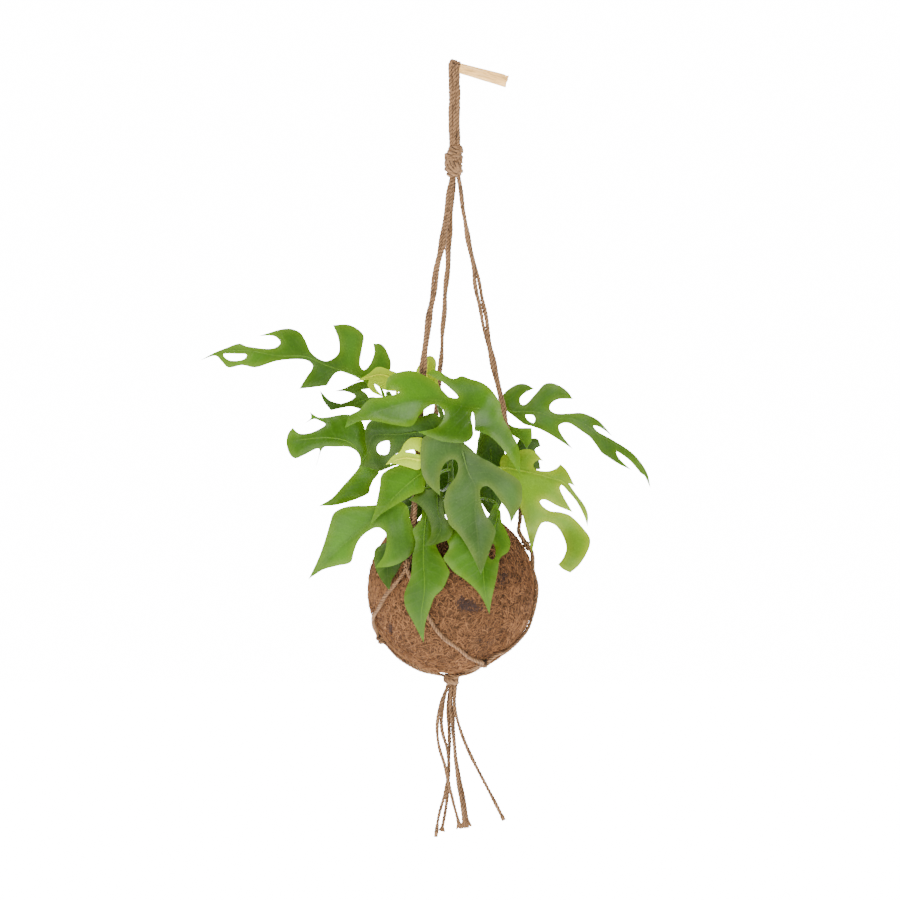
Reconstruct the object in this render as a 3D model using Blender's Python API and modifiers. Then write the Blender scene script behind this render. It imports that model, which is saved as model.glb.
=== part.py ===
"""Potted mini monstera in a knotted jute hanger.

Units are metres, +Z is up and the front is towards -Y.  The origin is the middle of
the wooden peg's free end, which is what holds the whole thing up.  Shapes are given in
millimetres, leaves in millimetres from their own blade base, and MM turns them to metres.
"""

import math

import bmesh
import bpy
from mathutils import Matrix, Vector
from mathutils.geometry import delaunay_2d_cdt

MM = 0.001
GAP = 0.3                    # clearance between touching pieces

# Peg: a tapering stick, its thick end at the origin, rising to the left, with a thin neck
PEG_LENGTH = 55.5
PEG_RISE = 15.5              # degrees above level
PEG_THICK_RADIUS = 5.8
PEG_THIN_RADIUS = 4.7
PEG_SHOULDER = 44.4
PEG_NECK_RADIUS = 2.3

# Jute cord and knots
CORD_RADIUS = 1.5
LOOP_STATIONS = (46.9, 50.1, 53.3)      # distances along the peg
KNOT_X = -48.2
TOP_KNOT_TOP = -58.0
TOP_KNOT_BOTTOM = -87.0
TOP_KNOT_RADIUS = 8.4

# Coconut fibre pot: a ball with an open mouth
POT_X = -51.0
POT_Z = -457.2
POT_CENTRE = Vector((POT_X, 0.0, POT_Z))
POT_RADIUS = 75.0
POT_WALL = 6.0
POT_MOUTH_RADIUS = 43.0
SOIL_TOP = 49.2              # above the pot's centre
STEM_RADIUS = 2.6

# Knots on the net: azimuth about the pot, height above its centre
UPPER_KNOTS = {"right": (0.0, 40.0), "front": (-121.0, 25.0), "back": (110.0, 30.0)}
LOWER_KNOTS = {"front_right": (-47.0, -67.0), "left": (172.0, -46.0), "back_right": (60.0, -58.0)}
UPPER_KNOT_SIZE = (3.3, 6.5)            # radius and half height
LOWER_KNOT_SIZE = (4.4, 5.0)
BOTTOM_KNOT_RADIUS = 6.9
BOTTOM_KNOT_HALF = 5.0
TAIL_RADIUS = 1.3

# Leaves
BLADE_THICKNESS = 0.9
STALK_RADIUS = 1.25


# ---------------------------------------------------------------- small tools

def clear_scene():
    """Remove whatever the new file holds."""
    for item in list(bpy.data.objects):
        bpy.data.objects.remove(item, do_unlink=True)


def make_collection(name):
    """A new collection in the scene."""
    made = bpy.data.collections.new(name)
    bpy.context.scene.collection.children.link(made)
    return made


def material(name, colour, roughness, metallic=0.0):
    """A Principled material."""
    made = bpy.data.materials.new(name)
    made.use_nodes = True
    shader = made.node_tree.nodes["Principled BSDF"]
    shader.inputs["Base Color"].default_value = (*colour, 1.0)
    shader.inputs["Roughness"].default_value = roughness
    shader.inputs["Metallic"].default_value = metallic
    made.diffuse_color = (*colour, 1.0)
    return made


def smooth_route(points, spacing):
    """Points about `spacing` apart on a smooth curve through the given points."""
    route = [Vector(point) for point in points]
    ends = [route[0] * 2 - route[1]] + route + [route[-1] * 2 - route[-2]]
    fine = []
    for first in range(len(route) - 1):
        a, b, c, d = ends[first:first + 4]
        for step in range(16):
            t = step / 16.0
            fine.append(0.5 * (2 * b + (c - a) * t + (2 * a - 5 * b + 4 * c - d) * t ** 2
                               + (3 * b - 3 * c + d - a) * t ** 3))
    fine.append(route[-1])
    length = sum((q - p).length for p, q in zip(fine, fine[1:]))
    count = max(2, round(length / spacing))
    made = [fine[0]]
    walked = 0.0
    for p, q in zip(fine, fine[1:]):
        piece = (q - p).length
        while len(made) < count and walked + piece >= len(made) * length / count - 1e-6:
            if piece == 0.0:
                break
            made.append(p.lerp(q, (len(made) * length / count - walked) / piece))
        walked += piece
    made.append(fine[-1])
    return made


def tube(name, points, radius, paint, home, tip_scale=1.0):
    """A round cord or stalk along the points, as a bevelled poly curve."""
    curve = bpy.data.curves.new(name, "CURVE")
    curve.dimensions = "3D"
    curve.bevel_depth = radius * MM
    curve.bevel_resolution = 2
    curve.use_fill_caps = True
    line = curve.splines.new("POLY")
    line.points.add(len(points) - 1)
    for index, (spot, point) in enumerate(zip(line.points, points)):
        spot.co = (*(Vector(point) * MM), 1.0)
        spot.radius = 1.0 + (tip_scale - 1.0) * index / (len(points) - 1)
    made = bpy.data.objects.new(name, curve)
    curve.materials.append(paint)
    home.objects.link(made)
    return made


def as_mesh(thing):
    """Turn a curve object into a mesh object with its caps welded."""
    bpy.context.view_layer.update()
    graph = bpy.context.evaluated_depsgraph_get()
    mesh = bpy.data.meshes.new_from_object(thing.evaluated_get(graph))
    work = bmesh.new()
    work.from_mesh(mesh)
    bmesh.ops.remove_doubles(work, verts=work.verts, dist=0.00001)
    work.to_mesh(mesh)
    work.free()
    name = thing.name
    made = bpy.data.objects.new(name + "_mesh", mesh)
    made.matrix_world = thing.matrix_world.copy()
    for home in thing.users_collection:
        home.objects.link(made)
    bpy.data.objects.remove(thing, do_unlink=True)
    made.name = name
    return made


def turned(name, profile, place, paint, home, steps=16, lean=None):
    """A turned solid: the profile runs down its outer side about +Z."""
    mesh = bpy.data.meshes.new(name)
    mesh.from_pydata([(x * MM, 0.0, z * MM) for x, z in profile],
                     [(i, i + 1) for i in range(len(profile) - 1)], [])
    mesh.materials.append(paint)
    made = bpy.data.objects.new(name, mesh)
    made.location = Vector(place) * MM
    if lean is not None:
        made.rotation_euler = Vector(lean).to_track_quat("Z", "X").to_euler()
    home.objects.link(made)
    spin = made.modifiers.new("Turn", "SCREW")
    spin.steps = steps
    spin.render_steps = steps
    spin.use_merge_vertices = True
    spin.merge_threshold = 0.00001
    spin.use_smooth_shade = True
    return made


def barrel(radius, half, flat, rings=3):
    """Profile of a rounded barrel whose ends are flat discs of radius `flat`."""
    made = [(0.0, half)]
    start = math.acos(flat / radius)
    for ring in range(2 * rings + 1):
        angle = start * (1 - ring / rings)
        made.append((radius * math.cos(angle), half * math.sin(angle) / math.sin(start)))
    made.append((0.0, -half))
    return made


def on_pot(azimuth, height, lift):
    """A point `lift` outside the pot's ball, at an azimuth and a height."""
    radius = POT_RADIUS + lift
    angle = math.radians(azimuth)
    across = math.sqrt(max(0.0, radius ** 2 - height ** 2))
    return Vector((POT_X + across * math.cos(angle), across * math.sin(angle), POT_Z + height))


def out_of_pot(azimuth, height):
    """The direction straight out of the ball there."""
    return (on_pot(azimuth, height, 0.0) - POT_CENTRE).normalized()


# ---------------------------------------------------------------- hanger

def peg_axis():
    """Direction from the peg's free end to its thin end."""
    rise = math.radians(PEG_RISE)
    return Vector((-math.cos(rise), 0.0, math.sin(rise)))


def make_peg(paint, home):
    """The tapering wooden peg, turned down to a neck where the cords lie."""
    profile = [(0.0, PEG_LENGTH), (PEG_NECK_RADIUS, PEG_LENGTH),
               (PEG_NECK_RADIUS, PEG_SHOULDER + 0.4), (PEG_THIN_RADIUS, PEG_SHOULDER),
               (PEG_THICK_RADIUS, 0.0), (0.0, 0.0)]
    turned("hanging_peg", profile, (0, 0, 0), paint, home, 24, peg_axis())


def make_loop(number, paint, home):
    """One cord folded over the peg, both its ends running down into the top knot."""
    station = LOOP_STATIONS[number]
    radius = PEG_NECK_RADIUS + GAP + CORD_RADIUS + 0.15
    middle = peg_axis() * station
    up = Vector((math.sin(math.radians(PEG_RISE)), 0.0, math.cos(math.radians(PEG_RISE))))
    down_x = KNOT_X + 3.25 * (1 - number)
    crown = []
    for step in range(9):
        angle = math.radians(-10 + 200 * step / 8)
        crown.append(middle + radius * (Vector((0, -math.cos(angle), 0)) + up * math.sin(angle)))
    front = []
    for height, share in ((TOP_KNOT_TOP + GAP, 1.0), (-42.0, 0.8), (-22.0, 0.45)):
        x = middle.x + (down_x - middle.x) * share
        front.append(Vector((x, -radius + (radius - 1.8) * share, height)))
    front = smooth_route(front + crown[:1], 9.0)[:-1]
    back = [Vector((point.x, -point.y, point.z)) for point in reversed(front)]
    route = front + crown + back
    tube("loop_cord_%d" % (number + 1), route, CORD_RADIUS, paint, home)


def upper_knot(which, clear=GAP):
    """Centre of an upper knot and the direction up along the ball."""
    azimuth, height = UPPER_KNOTS[which]
    middle = on_pot(azimuth, height, UPPER_KNOT_SIZE[0] + clear + 0.4)
    outward = out_of_pot(azimuth, height)
    sideways = outward.cross(Vector((0, 0, 1))).normalized()
    return middle, sideways.cross(outward).normalized(), sideways


def lower_knot(which):
    """Centre of a lower knot and the direction up along the ball."""
    azimuth, height = LOWER_KNOTS[which]
    middle = on_pot(azimuth, height, LOWER_KNOT_SIZE[0] + GAP + 0.4)
    outward = out_of_pot(azimuth, height)
    sideways = outward.cross(Vector((0, 0, 1))).normalized()
    return middle, sideways.cross(outward).normalized(), sideways


def make_leg(which, start, bends, spread, paint, home):
    """A pair of cords from the top knot to one upper knot, lying side by side."""
    middle, along, sideways = upper_knot(which)
    end = middle + along * (UPPER_KNOT_SIZE[1] + 0.6)
    guide = [Vector((*start, TOP_KNOT_BOTTOM - GAP - 0.3))]
    guide += [Vector(bend) for bend in bends]
    guide += [end + along * 7.0, end]
    route = smooth_route(guide, 9.0)
    first, second, third = (Vector(item).normalized() for item in spread)
    if third.dot(sideways) < 0:
        sideways = -sideways
    for side, label in ((1, "a"), (-1, "b")):
        points = []
        for index, point in enumerate(route):
            t = index / (len(route) - 1)
            if t < 0.45:
                apart = first.lerp(second, t / 0.45)
            else:
                apart = second.lerp(sideways, (t - 0.45) / 0.55)
            points.append(point + apart.normalized() * side * 1.75)
        tube("leg_cord_%s_%s" % (which, label), points, CORD_RADIUS, paint, home)


def make_net_cord(name, upper, lower, side, way, paint, home):
    """A cord lying on the ball from an upper knot to a lower knot."""
    top, top_along, top_side = upper_knot(upper)
    low, low_along, low_side = lower_knot(lower)
    lift = CORD_RADIUS + GAP + 0.4
    spots = [on_pot(azimuth, height, lift) for azimuth, height in way]
    start = top - top_along * (UPPER_KNOT_SIZE[1] + 1.3)
    if (spots[0] - top).dot(top_side) < 0:
        top_side = -top_side
    start = start + top_side * 1.8
    start = POT_CENTRE + (start - POT_CENTRE).normalized() * max(
        (start - POT_CENTRE).length, POT_RADIUS + lift)
    if (spots[-1] - low).dot(low_side) < 0:
        low_side = -low_side
    if side == "above":
        end = low + low_along * (LOWER_KNOT_SIZE[1] + 1.2) + low_side * 2.3
    else:
        end = low + low_side * (LOWER_KNOT_SIZE[0] + 1.4) + low_along * 2.5
    tube(name, smooth_route([start] + spots + [end], 8.5), CORD_RADIUS, paint, home)


def make_knot(name, middle, along, radius, half, flat, paint, home):
    """A knot as a rounded barrel."""
    turned(name, barrel(radius, half, flat, 2), middle, paint, home, 12, along)


def make_hanger(wood, jute, home):
    """Peg, loop, knots, legs, net and tails."""
    make_peg(wood, home)
    for number in range(3):
        make_loop(number, jute, home)
    knot_half = (TOP_KNOT_TOP - TOP_KNOT_BOTTOM) / 2
    make_knot("top_knot", (KNOT_X, 0, (TOP_KNOT_TOP + TOP_KNOT_BOTTOM) / 2), (0, 0, 1),
              TOP_KNOT_RADIUS, knot_half, 5.5, jute, home)
    make_leg("front", (-51.0, -2.4), [(-60, -13, -146), (-67.5, -24, -192), (-76, -38, -255),
                                      (-80.5, -48, -330)],
             ((1, 0.3, 0), (1, 0.3, 0), (-0.84, 0.54, 0)), jute, home)
    make_leg("back", (-49.2, 3.7), [(-53.0, 14, -148), (-57.5, 28, -205), (-62.0, 42, -270),
                                    (-69.0, 55, -345)],
             ((1, 0.3, 0), (0.15, 1, 0), (0.94, 0.34, 0)), jute, home)
    make_leg("right", (-44.3, 0.0), [(-37.5, 0, -133), (-28.0, 0, -180), (-17.5, 0, -234),
                                     (-2.0, 0, -306), (11.0, 0, -372)],
             ((0, 1, 0), (1, 0.4, 0), (0, 1, 0)), jute, home)
    for which in UPPER_KNOTS:
        middle, along, _ = upper_knot(which)
        make_knot("upper_knot_" + which, middle, along, *UPPER_KNOT_SIZE, 2.2, jute, home)
    for which in LOWER_KNOTS:
        middle, along, _ = lower_knot(which)
        make_knot("lower_knot_" + which, middle, along, *LOWER_KNOT_SIZE, 3.0, jute, home)
    ways = (("front", "front_right", "beside", ((-113, -3), (-106, -23), (-95, -42), (-80, -54),
                                                (-66, -61))),
            ("right", "front_right", "above", ((-7, 22), (-8, 2), (-7, -14), (-7, -31),
                                               (-14, -45), (-25, -54), (-38, -56.5))),
            ("front", "left", "above", ((-134, 2), (-148, -14), (-163, -25), (-177, -33))),
            ("back", "left", "above", ((121, 14), (132, -6), (146, -22), (162, -33))),
            ("back", "back_right", "above", ((106, 12), (97, -12), (82, -34), (68, -47))),
            ("right", "back_right", "above", ((14, 14), (26, -12), (42, -36), (54, -48))))
    for upper, lower, side, way in ways:
        make_net_cord("net_cord_%s_to_%s" % (upper, lower), upper, lower, side, way, jute, home)
    bottom = Vector((KNOT_X - 2.0, 0.0, POT_Z - POT_RADIUS - GAP - BOTTOM_KNOT_HALF))
    make_knot("bottom_knot", bottom, (0, 0, 1), BOTTOM_KNOT_RADIUS, BOTTOM_KNOT_HALF, 5.0,
              jute, home)
    for which in LOWER_KNOTS:
        middle, along, _ = lower_knot(which)
        azimuth = math.radians(LOWER_KNOTS[which][0])
        outward = Vector((math.cos(azimuth), math.sin(azimuth), 0.0))
        end = bottom + outward * (BOTTOM_KNOT_RADIUS + 0.7)
        end.z = bottom.z + 2.9
        start = middle - along * (LOWER_KNOT_SIZE[1] + 0.7)
        guide = [start]
        for share in (0.3, 0.6, 0.85):
            spot = start.lerp(end, share) - POT_CENTRE
            spot = spot.normalized() * max(spot.length, POT_RADIUS + CORD_RADIUS + GAP + 0.6)
            guide.append(POT_CENTRE + spot)
        tube("gather_cord_" + which, smooth_route(guide + [end], 8.0), CORD_RADIUS + 0.2,
             jute, home)
    make_tails(bottom, jute, home)


def make_tails(bottom, jute, home):
    """Six cord ends hanging below the bottom knot, each with its own lazy wave."""
    top = bottom.z - BOTTOM_KNOT_HALF - GAP - 0.1
    # where each starts, its sideways drift by depth, and its reach
    tails = (((-3.8, -1.8), (-10.5, -13.5, -12, -6.5, -2.5, 2, 7), -1, 128),
             ((-4.0, 1.4), (-8.5, -9.5, -4.5, -3, -6.5, -12, -14.8), 1, 137),
             ((-1.2, 3.1), (-4, -3, -2.5, -3.5, -4, -6, -9.5), 5, 132),
             ((-0.6, -0.7), (-1.5, 0, 2, 3.5, 5.5, 9, 11), -3, 128),
             ((2.2, 2.3), (1.5, 1, 2, 4.5, 8, 11.5, 13.8), 3, 127),
             ((3.1, -2.1), (2, 5.5, 11.5, 19.5, 28.5, 37.5, 46.3), -4, 121))
    for number, (start, drift, depth, reach) in enumerate(tails):
        guide = [Vector((bottom.x + start[0], start[1], top))]
        for step, across in enumerate(drift):
            share = (step + 1) / len(drift)
            sway = 1.6 * math.sin(2.2 * step + number * 1.9)
            guide.append(Vector((bottom.x + across, start[1] + depth * share + sway * share,
                                 top - reach * share)))
        tube("tail_cord_%d" % (number + 1), smooth_route(guide, 7.8), TAIL_RADIUS, jute, home)


# ---------------------------------------------------------------- pot and soil

def make_pot(paint, home):
    """The fibre pot: a thick ball with a round mouth."""
    mouth = math.asin(POT_MOUTH_RADIUS / POT_RADIUS)
    inner = POT_RADIUS - POT_WALL
    inner_mouth = math.asin((POT_MOUTH_RADIUS - 2.0) / inner)
    outside = []
    for step in range(15):
        angle = mouth + (math.pi - mouth) * step / 14
        outside.append((POT_RADIUS * math.sin(angle), POT_RADIUS * math.cos(angle)))
    inside = []
    for step in range(10):
        angle = inner_mouth + (math.pi - inner_mouth) * step / 9
        inside.append((inner * math.sin(angle), inner * math.cos(angle)))
    lip_x = POT_MOUTH_RADIUS - 2.0
    lip_z = outside[0][1] + 1.2
    profile = list(reversed(inside)) + [(lip_x, lip_z)] + outside
    profile[0] = (0.0, profile[0][1])
    profile[-1] = (0.0, profile[-1][1])
    turned("coconut_pot", profile, (POT_X, 0, POT_Z), paint, home, 28)


def make_soil(paint, home):
    """Potting mix filling the ball to just under the mouth, gently heaped."""
    inner = POT_RADIUS - POT_WALL - GAP - 0.45
    edge = math.acos(SOIL_TOP / inner)
    profile = [(0.0, SOIL_TOP + 2.4), (14.0, SOIL_TOP + 2.2), (28.0, SOIL_TOP + 1.2)]
    for step in range(10):
        angle = edge + (math.pi - edge) * step / 9
        profile.append((inner * math.sin(angle), inner * math.cos(angle)))
    profile[-1] = (0.0, profile[-1][1])
    turned("potting_soil", profile, (POT_X, 0, POT_Z), paint, home, 28)


# ---------------------------------------------------------------- leaves

STEMS = {
    "stem_left": ((-62, 6, -405.2), (-71, 3, -362), (-86, 1, -322), (-100, 1, -294), (-109, 2, -279)),
    "stem_middle": ((-51, -7, -405.2), (-51, -9, -362), (-55, -7, -322), (-63, -3, -288),
                    (-68, -1, -274)),
    "stem_right": ((-38, 6, -405.2), (-31, 9, -362), (-25, 11, -325), (-20, 12, -300))}

# Each leaf: blade base, midrib and outline in the upright plane from that base (a third
# number marks a sharp point), depth of the midrib at each of its points, how far the upper
# and lower sides lean back (+) or forward (-), holes, and where its stalk leaves a stem.
LEAVES = {
    "leaf_long_left": dict(
        base=(-122.4, 0, -268.7), stem=("stem_left", 0.97), via=[(-116, 1, -272)],
        rib=[(0, 0), (-11, 3), (-42, 13.5), (-56, 20), (-67, 21.5), (-85, 21.5), (-110, 26),
             (-135, 25.5), (-153, 18)],
        depth=(0, -2, -9, -13, -16, -19, -21, -18, -12), lean=(0.35, -0.15), colour="green",
        edge=[(0, -4), (13, 2), (17, 13), (15.5, 21), (9, 32), (1, 33, 1), (2, 25), (-2, 14),
              (-7.5, 9), (-11, 14), (-9, 29), (-8, 41), (-20, 49.5), (-35, 49.5, 1), (-30, 36),
              (-30.5, 23.5), (-41.5, 17), (-54, 24), (-60, 36), (-65, 43), (-77, 46),
              (-101, 39.5, 1), (-87, 39), (-82, 33), (-89, 28), (-112, 30), (-118.5, 32.5),
              (-132, 28), (-142, 24), (-153, 18, 1), (-140, 21.5), (-134, 16), (-128.5, 11),
              (-116, 13), (-104, 11), (-84, 17), (-60, 18), (-53, 12.5), (-59, 2), (-65, -8, 1),
              (-40.5, -5, 1), (-33, 6), (-26, 7.5), (-13, 2)],
        holes=[[(-133, 23), (-121, 23.2), (-112, 22.5), (-114, 18.5), (-125, 17), (-131, 19.5)]]),
    "leaf_folded_young": dict(
        base=(-97.2, -14, -271.3), stem=("stem_left", 0.9), via=[(-100, -8, -280)],
        rib=[(0, 0), (-15, 7), (-28, 5), (-40, 1)], depth=(0, -3, -5, -5), lean=(0.3, 0.1),
        colour="young",
        edge=[(2, -6), (1, 6), (-11, 12), (-20, 14), (-28, 8), (-40, 1, 1), (-27.5, 2.5),
              (-29, -2), (-25, -8), (-14, -13, 1), (-21, -6), (-23, -1), (-18, -4), (-11, -7)]),
    "leaf_small_back_left": dict(
        base=(-120.6, 11, -284.9), stem=("stem_left", 0.84), via=[(-108, 9, -293)],
        rib=[(0, 0), (-10, -2), (-22, -6), (-36, -6)], depth=(0, 1, 0, -2), lean=(0.3, 0.0),
        colour="deep",
        edge=[(-2, -11), (-4, -2), (-7, 4), (-12, 7.5, 1), (-3, 9, 1), (-2, 15), (-13, 15),
              (-20, 12.5), (-27, 9), (-35, 6.5, 1), (-25, 6), (-17, 2), (-21.5, -2),
              (-30, -5, 1), (-40, -2), (-49, 7, 1), (-46, -2), (-39, -11, 1), (-30, -9),
              (-21, -7.5), (-12, -10)]),
    "leaf_broad_top": dict(
        base=(-23.4, -35, -295.7), stem=("stem_right", 0.9), via=[(-21.5, -10, -305)],
        rib=[(0, 0), (-10, 1.5), (-24, 4.5), (-38, 8), (-56, 8), (-74, 4), (-92, -2),
             (-105, -8), (-122, -16)],
        depth=(0, -4, -11, -18, -25, -29, -31, -31, -29), lean=(0.33, -1.25), colour="green",
        edge=[(17, -1.5), (16, 5), (12.5, 12), (6, 20), (-2, 25), (-11, 27.5),
              (-18.5, 30), (-26, 27.5), (-37, 33), (-43, 35.5), (-49.5, 32.5, 1), (-38, 26),
              (-31, 21), (-21.5, 11), (-29, 11), (-35, 16.5), (-40.5, 22.5), (-49.5, 29),
              (-63, 34.5), (-76.5, 32.5), (-84, 28), (-86, 17, 1), (-79, 18.5), (-74, 15),
              (-83, 12), (-100, 9), (-110, -1), (-118, -5.5), (-122, -16, 1), (-111, -11),
              (-97, -10), (-79, -13.5), (-63, -14.5), (-56, -5.5), (-49.5, 1.5), (-41.5, 4.5),
              (-34.5, -1), (-35, -9), (-41.5, -16.5), (-57, -20, 1), (-38, -27.5), (-24, -29.5),
              (-14.5, -29), (-8.7, -24), (-8.6, -16), (-10, -8), (-8.6, -1.8), (-7.0, -8),
              (-7, -19, 1), (-1.5, -20), (7, -24), (16, -32.5), (23, -42), (33, -57, 1),
              (32.5, -35.5), (25, -19.5), (19, -8.5)]),
    "leaf_large_front": dict(
        base=(-41.4, -60, -332.6), stem=("stem_middle", 0.5), via=[(-45, -30, -332)],
        rib=[(0, 0), (5, -18), (11, -29.5), (12.3, -39), (11.5, -56), (13.5, -75), (16.5, -109)],
        depth=(0, -6, -10, -13, -19, -26, -35), lean=(0.1, -0.32), colour="blue",
        edge=[(-34, 12.5), (-20, 16), (-6, 12.5), (5, 4.5), (15.5, -5), (25, -10), (36, -17),
              (47, -23.5), (52, -29), (53, -37), (52, -46), (43, -63.5, 1), (41, -55), (36, -47),
              (29, -37), (22.5, -31), (17, -32.5), (15.7, -38), (17.5, -47.5), (21.5, -57.5),
              (27, -65), (29.5, -71), (24.5, -87), (16.5, -109, 1), (11.5, -97.5), (2.5, -81),
              (-4, -72), (-11, -65), (-14.5, -56.5), (-16.5, -45, 1), (-13.5, -34),
              (-9.5, -28), (-5.5, -22.5), (-3.5, -16), (-4.5, -9.5), (-8.5, -7), (-14.5, -10),
              (-18.5, -17), (-20, -26), (-19.5, -39.5, 1), (-27.5, -32.5), (-32.5, -26.5),
              (-36, -18), (-37, -7), (-36.5, 4.5)]),
    "leaf_right_small": dict(
        base=(-2.7, 8, -308.2), stem=("stem_right", 0.78), via=[(-12, 10, -313)],
        rib=[(0, 0), (10, -6), (19.5, -22)], depth=(0, -2, -6), lean=(0.1, 0.1),
        colour="light",
        edge=[(-2, 2, 1), (10, -3), (24, -3.5, 1), (24, -14.5), (19.5, -22, 1), (14.5, -15),
              (7.5, -10.5), (1, -5)]),
    "leaf_long_right": dict(
        base=(3.6, 9, -297.2), stem=("stem_right", 0.985), via=[(-11, 11, -294.5), (-3, 10, -293.5)],
        rib=[(0, 0), (22, -0.5), (38.5, -5.5), (54, -6.5), (68, -13), (78, -21), (97, -31.5),
             (111, -42), (124, -68)],
        depth=(0, -2, -6, -10, -15, -19, -23, -25, -24), lean=(0.35, -0.2), colour="green",
        edge=[(-1, -2), (-6, 2), (-10, 9), (-7.5, 16), (-2, 21), (5.5, 25), (12.5, 25),
              (20, 21, 1), (12.5, 17.5), (7.5, 12.5), (8, 7), (12, 6.5), (22, 17), (29.5, 25),
              (36, 26), (44, 23), (50.5, 18), (55, 11.5, 1), (43, 11.5), (36, 8), (34, 2.5),
              (39.5, -1.5), (52, -1.5), (62, -1), (71, -4), (79, -9), (90, -22, 1), (79, -14),
              (73, -12.5), (76.5, -17.5), (88, -24), (106, -35.5), (115, -45), (121.5, -56),
              (124, -68, 1), (120, -59), (115, -55, 1), (106, -44.5), (97, -37.5), (93.5, -36),
              (95.5, -41.5), (107, -52.5, 1), (95.5, -47), (85.5, -40.5), (80, -36.5),
              (75.5, -30), (70, -23), (61, -16.5), (53, -11), (47, -10), (42, -13), (45, -21),
              (54.5, -33.5, 1), (37, -22), (27, -16.5), (19, -13.3), (11.5, -11.3), (5.5, -7)],
        holes=[[(12, -3), (19, -3), (21, -6.5), (19.5, -10), (14.5, -7.5)]]),
    "leaf_bright_right": dict(
        base=(-2.7, -20, -347.9), stem=("stem_right", 0.45),
        via=[(-35, -2, -348), (-30, -15, -348), (-14, -20, -348)],
        rib=[(0, 0), (12.5, -2), (29.5, -5.5), (40.5, -9), (52, -12.5), (62, -25), (71, -38),
             (74, -52)],
        depth=(0, -2, -2, 0, 2, 6, 9, 12), lean=(0.25, -0.12), colour="bright",
        edge=[(-4.5, 2), (-3.5, 9), (1, 13), (13.5, 16), (20, 17), (26, 15), (34, 6.5, 1),
              (29, 7), (25, 3.5), (26.5, -0.5), (32.5, -2.5), (39.5, -2.5), (46, 0),
              (49.5, 3.5, 1), (55, -2), (62.5, -16, 1), (57, -13.5, 1), (62, -21), (71, -33),
              (74.5, -42), (74, -52, 1), (70.5, -42), (64, -30), (56.5, -21), (50.5, -15),
              (49, -18), (52, -25), (60.5, -39.5, 1), (47, -34), (35, -28), (31, -29.5),
              (33.5, -34), (40.5, -38.5), (49.5, -39.5), (59, -43), (71, -55), (76.5, -64),
              (74.5, -74), (66.5, -87), (58.5, -94, 1), (51.5, -90.5), (47.5, -86.5, 1),
              (52, -81), (55, -72), (52, -61), (46, -52), (38.5, -48.5), (32.5, -49.5),
              (28, -59.5), (24, -76.5, 1), (21, -63), (18, -51.5), (14.5, -38.5), (11, -29),
              (3, -11)]),
    "leaf_rolled_new": dict(
        base=(-78.3, -60, -340.7), stem=("stem_middle", 0.56), via=[(-64, -32, -338), (-71, -52, -340)],
        rib=[(0, 0), (-15, 2), (-31, -4)], depth=(0, -1, 0), lean=(0.2, 0.0), colour="young",
        edge=[(0, -7), (-3.5, -8.5), (-10, -6.5), (-24.5, -3), (-31, -4, 1), (-25, 3), (-18, 8),
              (-14.5, 14.5), (-9, 19.5), (2, 19), (3, 9)],
        holes=[[(-13.5, 7.6), (-7, 9.4), (-0.5, 7.2), (0, 4.6), (-7, 6.4)]]),
    "leaf_front_left": dict(
        base=(-76.3, -57, -351.5), stem=("stem_middle", 0.42), via=[(-64, -32, -353), (-71, -50, -352)],
        rib=[(0, 0), (-15, -12), (-30, -27), (-46, -47)], depth=(0, -6, -9, -9), lean=(0.15, -0.25),
        colour="green",
        edge=[(1, -16), (-8.5, -20), (-25, -29.5), (-38, -38), (-47, -47, 1), (-42.5, -33.5),
              (-38.5, -14.5), (-36, -1.5), (-21, 6.5), (-10, 7), (0, 5.5)])}

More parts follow.
